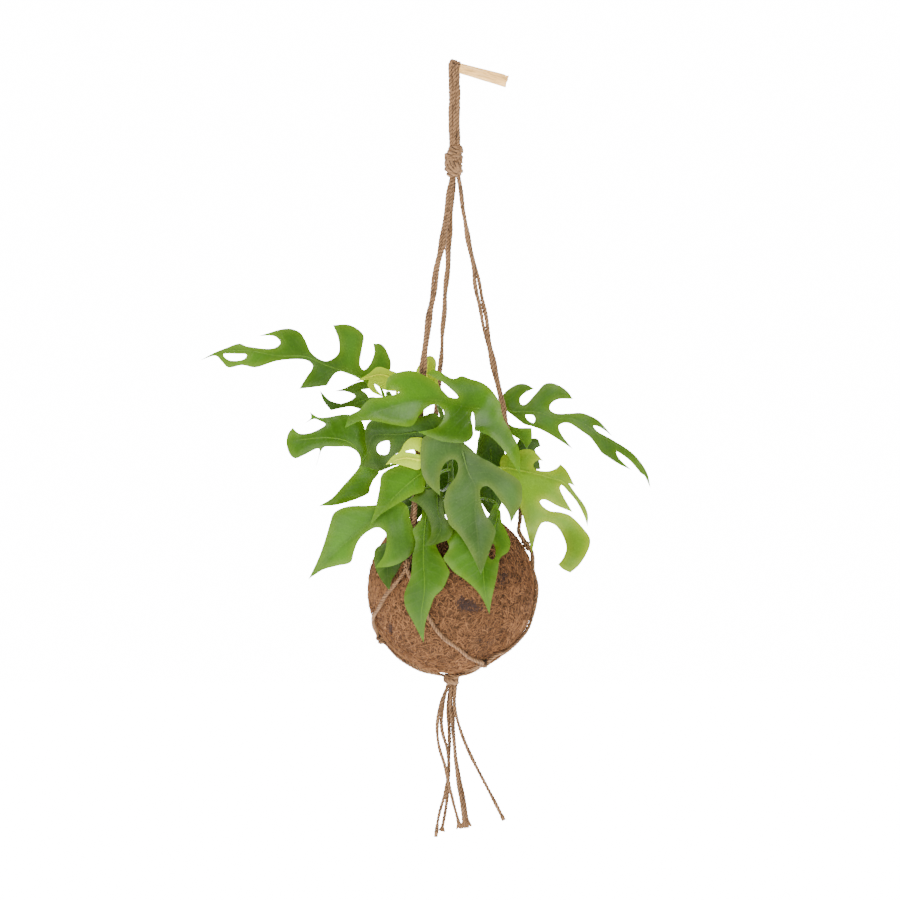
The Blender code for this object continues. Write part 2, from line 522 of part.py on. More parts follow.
LEAVES.update({
    "leaf_two_lobes_left": dict(
        base=(-103.5, -60, -379.4), stem=("stem_left", 0.3), via=[(-94, -22, -366)],
        rib=[(0, 0), (-14, -11), (-32, -27), (-50, -42), (-74.5, -67)],
        depth=(0, -2, -1, 2, 8), lean=(-0.1, -0.35), colour="green",
        edge=[(-3, 3.5), (-15, -1), (-37, -2), (-45, -4), (-52, -8.5), (-55, -16.5),
              (-59.5, -31.5), (-65, -47), (-74.5, -67, 1), (-68.5, -63), (-61, -58.5),
              (-48.5, -55), (-37, -52), (-34, -43), (-30.5, -34), (-23.5, -26), (-13, -21),
              (-5.5, -26), (-5, -36.5), (-8, -47), (-15, -56.5, 1), (-2.5, -55.5), (7.5, -52),
              (15.5, -46), (20.5, -38), (21.5, -31.5), (18.5, -22.5), (15.5, -13), (13.5, -2.5),
              (5, 3)]),
    "leaf_dark_low_left": dict(
        base=(-101.7, -58, -417.2), stem=("stem_left", 0.18), via=[(-90, -24, -384), (-100, -50, -404)],
        rib=[(0, 0), (-6, -18), (-4.5, -39)], depth=(0, 0, -3), lean=(0.1, 0.1), colour="deep",
        edge=[(-7, 3), (-16.5, -2), (-18, -11), (-16.5, -19.5), (-12.5, -28), (-4.5, -39, 1),
              (-2, -29.5), (2.5, -22.5), (7, -13.5), (8, -3), (2, 3)]),
    "leaf_low_middle": dict(
        base=(-71.7, -59, -381.7), stem=("stem_middle", 0.26), via=[(-62, -32, -379), (-68, -51, -377)],
        rib=[(0, 0), (-3, -22), (-4, -47), (-3, -72), (-6, -97), (-4, -120)],
        depth=(0, -12, -19, -22, -20, -15), lean=(0.1, 0.1), colour="green",
        edge=[(-5.5, -7), (-9, -15), (-13.5, -21), (-11, -32), (-13.5, -43), (-15, -61.5),
              (-19.5, -73.5), (-21, -80.5), (-19.5, -89.5), (-13.5, -101), (-4, -120, 1),
              (-2.5, -104), (1.5, -91), (6, -79.5), (13, -72.5), (17.5, -63), (19, -58),
              (15, -49.5), (9.5, -40), (6, -31), (5, -21), (5, -9), (4, 1), (0, 6.5), (-4, 2)]),
    "leaf_curled_middle": dict(
        base=(-63, -60, -369.5), stem=("stem_middle", 0.32), via=[(-58, -32, -368)],
        rib=[(0, 0), (0, -15), (3, -30), (-3, -43), (-12, -47)], depth=(0, -9, -17, -22, -23),
        lean=(0.0, 0.0), colour="light",
        edge=[(-12.5, 2), (-26, -6.5, 1), (-18.5, -9.5), (-11, -17.5), (-6.5, -28), (-6, -37),
              (-12, -47, 1), (-3.5, -46), (2.5, -44), (10, -40.5), (13.5, -32.5), (9, -26),
              (5.5, -17), (4.5, -7), (3.5, 1)]),
    "leaf_low_right": dict(
        base=(-9.9, -57, -381.2), stem=("stem_right", 0.2), via=[(-33, -10, -376), (-22, -34, -375)],
        rib=[(0, 0), (-3, -20), (-12, -45), (-12, -70), (-7.5, -95)],
        depth=(0, -13, -22, -27, -25), lean=(0.1, 0.1), colour="green",
        edge=[(-2.5, 1.5), (-8, -9), (-17, -17), (-31.5, -20), (-40.5, -21.5), (-45, -29),
              (-43, -37), (-48, -46), (-44, -52), (-39, -58), (-28.5, -65.5), (-20, -73),
              (-13.5, -82), (-7.5, -95, 1), (-5.5, -82), (-2.5, -68.5), (0, -56.5), (2, -46),
              (9, -40.5), (11, -32.5), (7, -21.5), (3.5, -14.5), (2.5, -5)],
        holes=[[(-4.5, -33), (-2, -38), (-2.5, -46), (-6, -47.5), (-8.5, -42)]]),
    "leaf_broad_left": dict(
        base=(-118.8, -30, -349.7), stem=("stem_left", 0.42), via=[(-98, -14, -344)],
        rib=[(0, 0), (-10, 10), (-23, 25), (-45, 29), (-77, 26)], depth=(0, -2, -7, -10, -6),
        lean=(0.3, -0.15), colour="green",
        edge=[(3, -2.5), (-2, -9), (-5, -16), (-6, -20.5), (-19, -26.5), (-35, -31),
              (-50.5, -32, 1), (-38.5, -24.5), (-29.5, -14.5), (-20.5, -4.5), (-15, 2.5),
              (-13.5, 9), (-16, 16), (-23.5, 20.5), (-36, 21), (-46.5, 20), (-53, 3, 1),
              (-50.2, 19.2), (-64, 13.5),
              (-71.5, 10.5), (-76.5, 14.5), (-79.5, 24.5), (-78, 32.5), (-74, 38, 1),
              (-68.5, 33), (-59.5, 33), (-49.5, 37), (-44.5, 41), (-49.5, 44), (-55, 45.8),
              (-62.5, 42.2, 1), (-57.5, 47), (-58.6, 52, 1), (-51, 47.3), (-41.5, 47.5),
              (-31, 49.5), (-23, 49.5), (-14, 46), (-9.5, 37), (-8.5, 27), (-6, 17), (-3, 8),
              (2, 2.5)]),
    "leaf_holed_left": dict(
        base=(-80.5, -57, -315.5), stem=("stem_left", 0.62), via=[(-90, -24, -321), (-87, -48, -318)],
        rib=[(0, 0), (-18, -2), (-30, -2.5), (-41, -4), (-46, -19), (-53, -31)],
        depth=(0, 5, 9, 13, 12, 10), lean=(0.1, 0.1), colour="deep",
        edge=[(-10, 9.5), (-25, 10.5), (-38, 12), (-45, 7.5), (-47.5, 0), (-47, -9.5),
              (-45.5, -21.5), (-52, -30.5, 1), (-43, -32), (-35, -34), (-27, -31.5),
              (-20.5, -20.5), (-13, -16), (-6, -9.5), (3.5, -7), (12, -4.5), (20, 0),
              (23.5, 6), (20, 12), (14, 17), (7, 15)],
        holes=[[(-26, -8), (-31, -8.5), (-35.5, -11), (-37, -15.5), (-35, -19.5), (-28, -20),
                (-25.5, -15)]]),
    "leaf_new_shoot": dict(
        base=(-72.9, -15, -266.9), stem=("stem_middle", 0.97), via=[(-70, -9, -271)],
        rib=[(0, 0), (0, 8), (3, 20)], depth=(0, -1, -1), lean=(0.1, 0.1), colour="young",
        edge=[(-1, -5), (-5.5, 0), (-10, 4.5), (-7, 11.5), (-2, 18), (3, 20), (6.5, 18),
              (8.5, 13.5), (8, 7), (10.5, -7, 1), (3.5, -3)]),
    "leaf_dark_inner_right": dict(
        base=(-16, -3, -330), stem=("stem_right", 0.58), via=[(-21, 2, -331)],
        rib=[(0, 0), (1, -20), (0, -42), (4, -62)], depth=(0, -2, -3, -3), lean=(0.1, 0.1),
        colour="deep",
        edge=[(-6, 13), (-9, 4), (-12, -8), (-13, -24), (-10, -44), (-2, -58), (4, -62, 1),
              (10, -50), (13, -34), (14, -18), (13, -4), (8, 6), (0, 12)]),
    "leaf_back": dict(
        base=(-52, 22, -330), stem=("stem_middle", 0.48), via=[(-54, 8, -332)],
        rib=[(0, 0), (-1, -18), (-3, -40), (-6, -62)], depth=(0, 12, 20, 20), lean=(0.2, 0.2),
        colour="green",
        edge=[(0, 5), (-10, 6), (-19, -2), (-21, -14), (-16, -20), (-22, -28, 1), (-18, -36),
              (-13, -38), (-17, -48, 1), (-12, -56), (-6, -62, 1), (1, -54), (8, -42),
              (12, -36, 1), (8, -30), (14, -22), (17, -12), (11, 0)]),
    "leaf_back_left": dict(
        base=(-83, 21, -354), stem=("stem_left", 0.4), via=[(-82, 13, -353)],
        rib=[(0, 0), (-2, -14), (-2, -28), (0, -42)], depth=(0, 10, 20, 25), lean=(0.2, 0.2),
        colour="green",
        edge=[(2, 4), (-8, 5), (-16, -2), (-20, -10, 1), (-17, -17), (-12, -19), (-18, -28, 1),
              (-13, -34), (0, -43, 1), (8, -32), (12, -25, 1), (7, -20), (11, -12), (9, -2)]),
    "leaf_back_right": dict(
        base=(16, 31, -322), stem=("stem_right", 0.9), via=[(-14, 22, -306), (4, 30, -312)],
        rib=[(0, 0), (2, -13), (3, -27), (0, -44)], depth=(0, 5, 8, 8), lean=(0.1, 0.1),
        colour="deep",
        edge=[(-3, 3), (4, 1), (11, 0.5), (14, -6, 1), (9, -9), (12, -17), (14, -27, 1), (8, -28),
              (7, -37), (0, -46, 1), (-4, -36), (-9, -32, 1), (-7, -24), (-10, -14), (-8, -5)]),
})


def smooth_edge(points, spacing, closed):
    """Points along a line that bends smoothly except at its marked sharp points."""
    flat = [Vector((point[0], point[1])) for point in points]
    sharp = [len(point) > 2 for point in points]
    if closed:
        first = sharp.index(True) if True in sharp else 0
        flat = flat[first:] + flat[:first] + [flat[first]]
        sharp = sharp[first:] + sharp[:first] + [sharp[first]]
    made = []
    count = len(flat) - 1
    for index in range(count):
        b, c = flat[index], flat[index + 1]
        loop = closed and True not in sharp
        if loop:
            a, d = flat[(index - 1) % count], flat[(index + 2) % count]
        else:
            a = b * 2 - c if sharp[index] or index == 0 else flat[index - 1]
            d = c * 2 - b if sharp[index + 1] or index == count - 1 else flat[index + 2]
        reach = (c - b).length
        steps = max(1, round(reach / spacing))
        # tangents scaled to each chord keep short and long neighbours from overshooting
        out = (c - a) * (reach / max((c - b).length + (b - a).length, 1e-6))
        into = (d - b) * (reach / max((c - b).length + (d - c).length, 1e-6))
        for step in range(steps):
            t = step / steps
            made.append((2 * t ** 3 - 3 * t ** 2 + 1) * b + (t ** 3 - 2 * t ** 2 + t) * out
                        + (3 * t ** 2 - 2 * t ** 3) * c + (t ** 3 - t ** 2) * into)
    if not closed:
        made.append(flat[-1])
    return made


def inside(point, loop):
    """Whether a flat point lies inside a closed loop."""
    found = False
    for p, q in zip(loop, loop[1:] + loop[:1]):
        if (p.y > point.y) != (q.y > point.y):
            if point.x < (q.x - p.x) * (point.y - p.y) / (q.y - p.y) + p.x:
                found = not found
    return found


def nearest_on(line, point):
    """Share along a line, distance and side of the line's point nearest to `point`."""
    best = (1e9, 0.0, 1.0)
    for index, (p, q) in enumerate(zip(line, line[1:])):
        along = q - p
        t = min(1.0, max(0.0, (point - p).dot(along) / max(along.length_squared, 1e-9)))
        spot = p + along * t
        away = (point - spot).length
        if away < best[0]:
            cross = along.x * (point.y - spot.y) - along.y * (point.x - spot.x)
            best = (away, index + t, 1.0 if cross > 0 else -1.0)
    return best


def leaf_depth(leaf, rib, share_of_rib, point):
    """How far forward or back the blade lies at a point of its outline's plane."""
    away, place, _ = nearest_on(rib, point)
    spot = place / share_of_rib
    low = min(int(spot), len(leaf["depth"]) - 2)
    depth = leaf["depth"][low] + (leaf["depth"][low + 1] - leaf["depth"][low]) * (spot - low)
    index = min(int(place), len(rib) - 2)
    foot = rib[index].lerp(rib[index + 1], place - index)
    upper = max(-1.0, min(1.0, (point.y - foot.y) / max(away, 1e-6)))
    across = max(0.0, math.sqrt(away ** 2 + 2.0) - 1.5)
    across = across / (1.0 + across / 60.0)
    slope = leaf["lean"][0] * (1 + upper) / 2 + leaf["lean"][1] * (1 - upper) / 2
    return depth + slope * across


def leaf_sheet(leaf, spacing, grid):
    """Vertices and triangles of a leaf's middle surface, in millimetres."""
    outline = smooth_edge(leaf["edge"], spacing, True)
    holes = [smooth_edge(hole, spacing, True) for hole in leaf.get("holes", [])]
    parts = 3
    rib = []
    ends = [Vector(p) for p in leaf["rib"]]
    ends = [ends[0] * 2 - ends[1]] + ends + [ends[-1] * 2 - ends[-2]]
    for index in range(len(ends) - 3):
        a, b, c, d = ends[index:index + 4]
        for step in range(parts):
            t = step / parts
            rib.append(0.5 * (2 * b + (c - a) * t + (2 * a - 5 * b + 4 * c - d) * t ** 2
                              + (3 * b - 3 * c + d - a) * t ** 3))
    rib.append(ends[-2])
    verts = list(outline)
    edges = [(i, (i + 1) % len(outline)) for i in range(len(outline))]
    for hole in holes:
        start = len(verts)
        verts += hole
        edges += [(start + i, start + (i + 1) % len(hole)) for i in range(len(hole))]
    rims = list(verts)

    def free(point, room):
        """Whether a point is inside the blade and clear of every edge."""
        if not inside(point, outline) or any(inside(point, hole) for hole in holes):
            return False
        return all((point - other).length > room for other in rims)

    for point in rib[1:-1]:
        if free(point, spacing * 0.45):
            verts.append(point)
    low = Vector((min(p.x for p in outline), min(p.y for p in outline)))
    high = Vector((max(p.x for p in outline), max(p.y for p in outline)))
    row = 0
    y = low.y
    inner = []
    while y < high.y:
        x = low.x + (grid / 2 if row % 2 else 0.0)
        while x < high.x:
            point = Vector((x, y))
            clear = min((point - other).length for other in rib)
            if clear > grid * 0.45 and free(point, grid * 0.5):
                inner.append(point)
            x += grid
        y += grid * 0.87
        row += 1
    verts += inner
    flat, _, faces, _, _, _ = delaunay_2d_cdt(verts, edges, [], 1, 0.0001)
    kept = []
    for face in faces:
        middle = sum((flat[i] for i in face), Vector((0.0, 0.0))) / len(face)
        if inside(middle, outline) and not any(inside(middle, hole) for hole in holes):
            kept.append(list(face))
    base = Vector(leaf["base"])
    solid = []
    for point in flat:
        depth = leaf_depth(leaf, rib, parts, point)
        solid.append(Vector((base.x + point.x, base.y + depth, base.z + point.y)))
    return solid, kept, rib


def on_stem(name, share):
    """A point on a stem's middle line and the stem's direction there."""
    route = smooth_route(STEMS[name], 4.0)
    place = share * (len(route) - 1)
    index = min(int(place), len(route) - 2)
    return route[index].lerp(route[index + 1], place - index), \
        (route[index + 1] - route[index]).normalized()


def make_leaf(name, leaf, paint, home, cutters):
    """One leaf: a thin blade joined to its own stalk."""
    verts, faces, rib = leaf_sheet(leaf, 9.0, 15.0)
    mesh = bpy.data.meshes.new(name)
    mesh.from_pydata([vert * MM for vert in verts], [], faces)
    work = bmesh.new()
    work.from_mesh(mesh)
    loose = [vert for vert in work.verts if not vert.link_faces]
    bmesh.ops.delete(work, geom=loose, context="VERTS")
    bmesh.ops.recalc_face_normals(work, faces=work.faces)
    work.to_mesh(mesh)
    work.free()
    mesh.materials.append(paint)
    mesh.shade_smooth()
    blade = bpy.data.objects.new(name, mesh)
    home.objects.link(blade)
    thick = blade.modifiers.new("Thickness", "SOLIDIFY")
    thick.thickness = BLADE_THICKNESS * MM
    thick.offset = 0.0
    spot, along = on_stem(*leaf["stem"])
    base = Vector(leaf["base"])
    via = [Vector(point) for point in leaf["via"]]
    toward = (via[0] - spot)
    toward = (toward - along * toward.dot(along)).normalized()
    start = spot + toward * (STEM_RADIUS + GAP + 0.2)
    landing = []
    for index in (1, 2, 3):
        point = rib[index]
        depth = leaf_depth(leaf, rib, 3, point)
        landing.append(Vector((base.x + point.x, base.y + depth + 0.5, base.z + point.y)))
    route = smooth_route([start, start + toward * 4.0] + via + [base + Vector((0, 0.5, 0))]
                         + landing, 9.0)
    stalk = as_mesh(tube(name + "_stalk", route, STALK_RADIUS, paint, cutters, 0.7))
    stalk.hide_render = True
    stalk.display_type = "WIRE"
    join = blade.modifiers.new("Stalk", "BOOLEAN")
    join.operation = "UNION"
    join.object = stalk
    join.solver = "EXACT"
    return blade


def make_plant(paints, home, cutters):
    """Three stems out of the soil and the leaves seated on them."""
    for name, points in STEMS.items():
        tube(name, smooth_route(points, 10.0), STEM_RADIUS, paints["stem"], home, 0.8)
    for name, leaf in LEAVES.items():
        make_leaf(name, leaf, paints[leaf["colour"]], home, cutters)


def main():
    """Build the whole object."""
    clear_scene()
    home = make_collection("potted_mini_monstera")
    cutters = make_collection("cutters")
    jute = material("jute", (0.42, 0.27, 0.15), 0.95)
    wood = material("pine", (0.80, 0.58, 0.36), 0.7)
    fibre = material("coconut_fibre", (0.30, 0.16, 0.08), 0.95)
    soil = material("soil", (0.035, 0.024, 0.016), 0.95)
    paints = {"stem": material("stem_green", (0.16, 0.26, 0.06), 0.5),
              "green": material("leaf_green", (0.10, 0.26, 0.03), 0.35),
              "blue": material("leaf_blue_green", (0.10, 0.24, 0.09), 0.35),
              "light": material("leaf_light_green", (0.22, 0.38, 0.06), 0.4),
              "bright": material("leaf_bright_green", (0.28, 0.42, 0.03), 0.4),
              "young": material("leaf_young_yellow", (0.50, 0.52, 0.10), 0.45),
              "deep": material("leaf_deep_green", (0.05, 0.15, 0.01), 0.4)}
    make_hanger(wood, jute, home)
    make_pot(fibre, home)
    make_soil(soil, home)
    make_plant(paints, home, cutters)


main()
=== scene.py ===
"""Looks for a potted mini monstera in a knotted jute hanger, laid out as an add-on."""

import math
import random

import bmesh
import bpy
import numpy as np
from mathutils import Matrix, Vector, noise
from mathutils.geometry import delaunay_2d_cdt


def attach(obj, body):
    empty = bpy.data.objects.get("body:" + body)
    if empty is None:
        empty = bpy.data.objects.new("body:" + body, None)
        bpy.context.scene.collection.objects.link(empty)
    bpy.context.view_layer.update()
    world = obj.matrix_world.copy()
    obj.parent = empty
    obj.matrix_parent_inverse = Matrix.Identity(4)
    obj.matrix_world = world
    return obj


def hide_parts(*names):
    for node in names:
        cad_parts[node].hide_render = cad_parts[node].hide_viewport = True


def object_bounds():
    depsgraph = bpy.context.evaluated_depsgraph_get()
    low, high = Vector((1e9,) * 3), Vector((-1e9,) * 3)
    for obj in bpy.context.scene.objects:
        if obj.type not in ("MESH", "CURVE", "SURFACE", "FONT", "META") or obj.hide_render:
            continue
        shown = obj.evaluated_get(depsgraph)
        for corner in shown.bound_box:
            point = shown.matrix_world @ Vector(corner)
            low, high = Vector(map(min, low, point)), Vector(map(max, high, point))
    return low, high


bl_info = {
    "name": "Hanging Mini Monstera",
    "version": (1, 0, 0),
    "blender": (4, 5, 0),
    "location": "3D View > Sidebar > Plant",
    "description": "Builds a mini monstera in a coconut fibre pot and a jute hanger",
    "category": "Add Mesh",
}

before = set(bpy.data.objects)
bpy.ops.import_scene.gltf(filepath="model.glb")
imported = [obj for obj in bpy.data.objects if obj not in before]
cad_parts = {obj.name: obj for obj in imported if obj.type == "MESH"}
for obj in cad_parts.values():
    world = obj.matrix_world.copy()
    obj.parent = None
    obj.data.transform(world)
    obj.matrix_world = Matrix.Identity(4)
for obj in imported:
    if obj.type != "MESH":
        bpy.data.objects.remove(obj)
CAD_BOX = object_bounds()
MM = 0.001


# ---------------------------------------------------------------- sizes, as in the solids

# all in millimetres, heights from the middle of the peg's free end
GAP = 0.3                 # between neighbouring pieces
PEG_LENGTH = 55.5
PEG_RISE = 15.5           # degrees above level
PEG_THICK_RADIUS = 5.8
PEG_THIN_RADIUS = 4.7
PEG_SHOULDER = 44.4       # where the thinner neck under the cords starts
PEG_NECK_RADIUS = 2.3
LOOP_STATIONS = (46.9, 50.1, 53.3)
LOOP_LIFT = 1.65          # from a gap over the neck to a loop's middle line
LOOP_SPACING = 3.25       # between the loops' cords where they run into the top knot
KNOT_X = -48.2
TOP_KNOT_TOP = -58.0
TOP_KNOT_BOTTOM = -87.0
TOP_KNOT_RADIUS = 8.4
POT_X = -51.0
POT_Z = -457.2
POT_CENTRE = Vector((POT_X, 0.0, POT_Z))
POT_RADIUS = 75.0
POT_MOUTH_RADIUS = 43.0
POT_WALL = 6.0
SOIL_TOP = 49.2           # above the pot's centre, at the soil's edge
SOIL_DOME = 2.4
STEM_RADIUS = 2.6
CORD_RADIUS = 1.5
TAIL_RADIUS = 1.3
PAIR_SPACING = 1.75       # from a leg's middle line to each of its two cords
# azimuth and height on the pot of each knot there; radius and half height of each kind
UPPER_KNOTS = {"right": (0.0, 40.0), "front": (-121.0, 25.0), "back": (110.0, 30.0)}
LOWER_KNOTS = {"front_right": (-47.0, -67.0), "left": (172.0, -46.0), "back_right": (60.0, -58.0)}
UPPER_KNOT_SIZE = (3.3, 6.5)
LOWER_KNOT_SIZE = (4.4, 5.0)
BOTTOM_KNOT_RADIUS = 6.9
BOTTOM_KNOT_HALF = 5.0


# ---------------------------------------------------------------- numbers of the finish

# how it departs from the solids: cords drawn thicker and straying from their route, a leg's
# two cords closer together, and lower knots and cord ends drawn in towards the pot
THICKER = {"loop": 1.29, "leg": 1.22, "net": 1.12, "gather": 0.95, "tail": 1.26}
STRAYING = 0.45
PAIR_CLOSENESS = 0.74
SLIT_HEIGHT = -194.0      # where the right leg's cords part
SLIT_REACH = 22.0
PARTING_HEIGHT = -150.0   # above this the front and back legs lie against each other
PARTING_REACH = 6.0
KNOT_PULL = 1.9
NET_PULL = 2.5
GATHER_PULL = 3.0

TURN = 6.283              # one turn, for random directions
NEAR_TURN = 6.28          # about one turn, for random starts of a twist
WALL_SHADE = 0.42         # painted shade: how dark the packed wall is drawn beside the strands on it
STRAND_POINTS = 5
RIB_PARTS = 5             # points of a midrib from one given point to the next
VEIN_GAP = 9.0
VEIN_SLANT = 0.62
EDGE_SPACING = 2.2        # between points of a blade's outline
GRID_SPACING = 3.1        # between points inside it
RIM_SHARE = 0.45          # how near the outline they may come, in that spacing


# ---------------------------------------------------------------- what a user may change

def length_setting(name, description, default, low, high):
    """A length that a user may change."""
    return bpy.props.FloatProperty(name=name, description=description, default=default,
                                   unit="LENGTH", min=low, max=high)


def count_setting(name, description, default):
    """A whole number that a user may change."""
    return bpy.props.IntProperty(name=name, description=description, default=default, min=0)


def colour_setting(name, description, default):
    """A colour that a user may change."""
    return bpy.props.FloatVectorProperty(name=name, description=description, default=default,
                                         subtype="COLOR", size=3)


class PlantSettings(bpy.types.PropertyGroup):
    """Sizes of the finish."""
    cord_diameter: length_setting("Cord Diameter", "Thickness of the jute cord", 0.003, 0.001,
                                  0.01)
    cord_pitch: length_setting("Cord Twist", "Length of one full turn of the plies", 0.0105,
                               0.003, 0.05)
    fuzz_per_metre: count_setting("Cord Fuzz", "Loose hairs on each metre of cord", 560)
    coir_strands: count_setting("Coir Strands", "Loose coconut fibres laid on the pot", 17000)
    blade_thickness: length_setting("Blade Thickness", "Thickness of a leaf blade", 0.0007,
                                    0.0002, 0.003)


class PlantColours(bpy.types.PropertyGroup):
    """Colours of the finish."""
    jute: colour_setting("Jute", "Main colour of the cord", (0.205, 0.110, 0.050))
    coir: colour_setting("Coconut Fibre", "Main colour of the pot", (0.200, 0.094, 0.040))
    wood: colour_setting("Peg Wood", "Main colour of the peg", (0.84, 0.47, 0.14))
    leaf: colour_setting("Leaf", "Main colour of a grown leaf", (0.037, 0.108, 0.0010))
    # painted reflection in part: this greyer, bluer green is partly the old leaf's own colour and
    # partly the white sheen on it, painted in
    leaf_blue: colour_setting("Old Leaf", "Colour of the oldest, bluish leaf",
                              (0.038, 0.088, 0.013))
    leaf_bright: colour_setting("Bright Leaf", "Colour of a half grown leaf",
                                (0.118, 0.238, 0.0008))
    leaf_young: colour_setting("Young Leaf", "Colour of a leaf that is just opening",
                               (0.26, 0.36, 0.003))


# ---------------------------------------------------------------- shader expressions

class Wire:
    """A node's output that can be used in ordinary arithmetic."""

    def __init__(self, paint, socket):
        self.paint = paint
        self.socket = socket

    def calc(self, operation, *values):
        """The output of a Math node on one or two values."""
        return self.paint.node("ShaderNodeMath", {"operation": operation},
                               dict(enumerate(values)))

    def __add__(self, other):
        return self.calc("ADD", self, other)

    def __sub__(self, other):
        return self.calc("SUBTRACT", self, other)

    def __mul__(self, other):
        return self.calc("MULTIPLY", self, other)

    def __abs__(self):
        return self.calc("ABSOLUTE", self)

    def fraction(self):
        """The part of this value after the point."""
        return self.calc("FRACT", self)

    def ramp(self, low, high, start=0.0, end=1.0):
        """This value brought smoothly from low..high to start..end, held at both ends."""
        return self.paint.node(
            "ShaderNodeMapRange", {"interpolation_type": "SMOOTHSTEP"},
            {"Value": self, "From Min": low, "From Max": high, "To Min": start, "To Max": end},
            "Result")


class Paint:
    """One material and the nodes behind its Principled shader."""

    def __init__(self, name, roughness, specular=0.5):
        self.material = bpy.data.materials.new(name)
        self.material.use_nodes = True
        self.tree = self.material.node_tree
        self.shader = self.tree.nodes["Principled BSDF"]
        self.shader.inputs["Roughness"].default_value = roughness
        self.shader.inputs["Specular IOR Level"].default_value = specular

    def node(self, kind, settings, sockets, output=0):
        """Add a node: its settings first, then the values or links of its sockets."""
        made = self.tree.nodes.new(kind)
        for key, value in settings.items():
            setattr(made, key, value)
        for key, value in sockets.items():
            if isinstance(value, Wire):
                self.tree.links.new(value.socket, made.inputs[key])
            else:
                made.inputs[key].default_value = value
        return Wire(self, made.outputs[output])

    def place(self):
        """Object coordinates."""
        return self.node("ShaderNodeTexCoord", {}, {}, "Object")

    def vector(self, x, y, z):
        """Three values as one vector."""
        return self.node("ShaderNodeCombineXYZ", {}, {"X": x, "Y": y, "Z": z})

    def noise(self, vector, scale, detail=3.0, roughness=0.55):
        """Cloudy noise, 0 to 1."""
        return self.node("ShaderNodeTexNoise", {}, {"Vector": vector, "Scale": scale,
                                                    "Detail": detail, "Roughness": roughness},
                         "Fac")

    def mix(self, low, high, factor):
        """Two colours mixed."""
        sockets = {0: factor, 6: low if isinstance(low, Wire) else (*low, 1.0),
                   7: high if isinstance(high, Wire) else (*high, 1.0)}
        return self.node("ShaderNodeMix", {"data_type": "RGBA"}, sockets, 2)

    def attribute(self, name):
        """A value stored on the mesh."""
        return self.node("ShaderNodeAttribute", {"attribute_name": name}, {}, "Fac")

    def bump(self, height, strength, distance):
        """Feed a height to the shader's normal."""
        made = self.node("ShaderNodeBump", {}, {"Height": height, "Strength": strength,
                                                "Distance": distance}, "Normal")
        self.feed("Normal", made)

    def feed(self, socket, value):
        """Link a value to a socket of the shader."""
        self.tree.links.new(value.socket, self.shader.inputs[socket])


def tint(colour, factor):
    """A colour made lighter or darker."""
    return tuple(min(1.0, channel * factor) for channel in colour)


# ---------------------------------------------------------------- routes and places

def bend(a, b, c, d, t):
    """A point on the smooth curve from b to c, whose neighbours are a and d."""
    return 0.5 * (2 * b + (c - a) * t + (2 * a - 5 * b + 4 * c - d) * t ** 2
                  + (3 * b - 3 * c + d - a) * t ** 3)


def spoke(side, other, angle):
    """A direction at an angle about a line, from two directions across it."""
    return side * math.cos(angle) + other * math.sin(angle)


def reaches(line):
    """How far along a line each of its points is."""
    return np.concatenate([[0.0], np.cumsum(np.linalg.norm(np.diff(line, axis=0), axis=1))])


def smooth_route(points, spacing):
    """Points about `spacing` apart on a smooth curve through the given points."""
    route = [Vector(point) for point in points]
    ends = [route[0] * 2 - route[1]] + route + [route[-1] * 2 - route[-2]]
    fine = []
    for first in range(len(route) - 1):
        fine += [bend(*ends[first:first + 4], step / 16.0) for step in range(16)]
    fine.append(route[-1])
    length = sum((q - p).length for p, q in zip(fine, fine[1:]))
    count = max(2, round(length / spacing))
    made = [fine[0]]
    walked = 0.0
    for p, q in zip(fine, fine[1:]):
        piece = (q - p).length
        while len(made) < count and walked + piece >= len(made) * length / count - 1e-6:
            if piece == 0.0:
                break
            made.append(p.lerp(q, (len(made) * length / count - walked) / piece))
        walked += piece
    made.append(fine[-1])
    return made


def smooth_line(points, spacing):
    """The same points as the rows of an array."""
    return np.array([tuple(point) for point in smooth_route(points, spacing)])


def on_pot(azimuth, height, lift):
    """A point `lift` outside the pot's ball, at an azimuth and a height."""
    radius = POT_RADIUS + lift
    angle = math.radians(azimuth)
    across = math.sqrt(max(0.0, radius ** 2 - height ** 2))
    return Vector((POT_X + across * math.cos(angle), across * math.sin(angle), POT_Z + height))


def knot_frame(azimuth, height, size):
    """Centre of a knot on the ball, its direction up along the ball and sideways."""
    middle = on_pot(azimuth, height, size[0] + GAP + 0.4)
    outward = (on_pot(azimuth, height, 0.0) - POT_CENTRE).normalized()
    sideways = outward.cross(Vector((0, 0, 1))).normalized()
    return middle, sideways.cross(outward).normalized(), sideways


def upper_knot(which):
    """Centre and directions of an upper knot."""
    return knot_frame(*UPPER_KNOTS[which], UPPER_KNOT_SIZE)


def lower_knot(which):
    """Centre and directions of a lower knot."""
    return knot_frame(*LOWER_KNOTS[which], LOWER_KNOT_SIZE)


def run_in(route, first, last, share=0.5):
    """The route with each end carried on towards the middle of the knot that it meets."""
    return [route[0].lerp(first, share), *route, route[-1].lerp(last, share)]


def peg_axis():
    """Direction from the peg's free end to its thin end."""
    rise = math.radians(PEG_RISE)
    return Vector((-math.cos(rise), 0.0, math.sin(rise)))


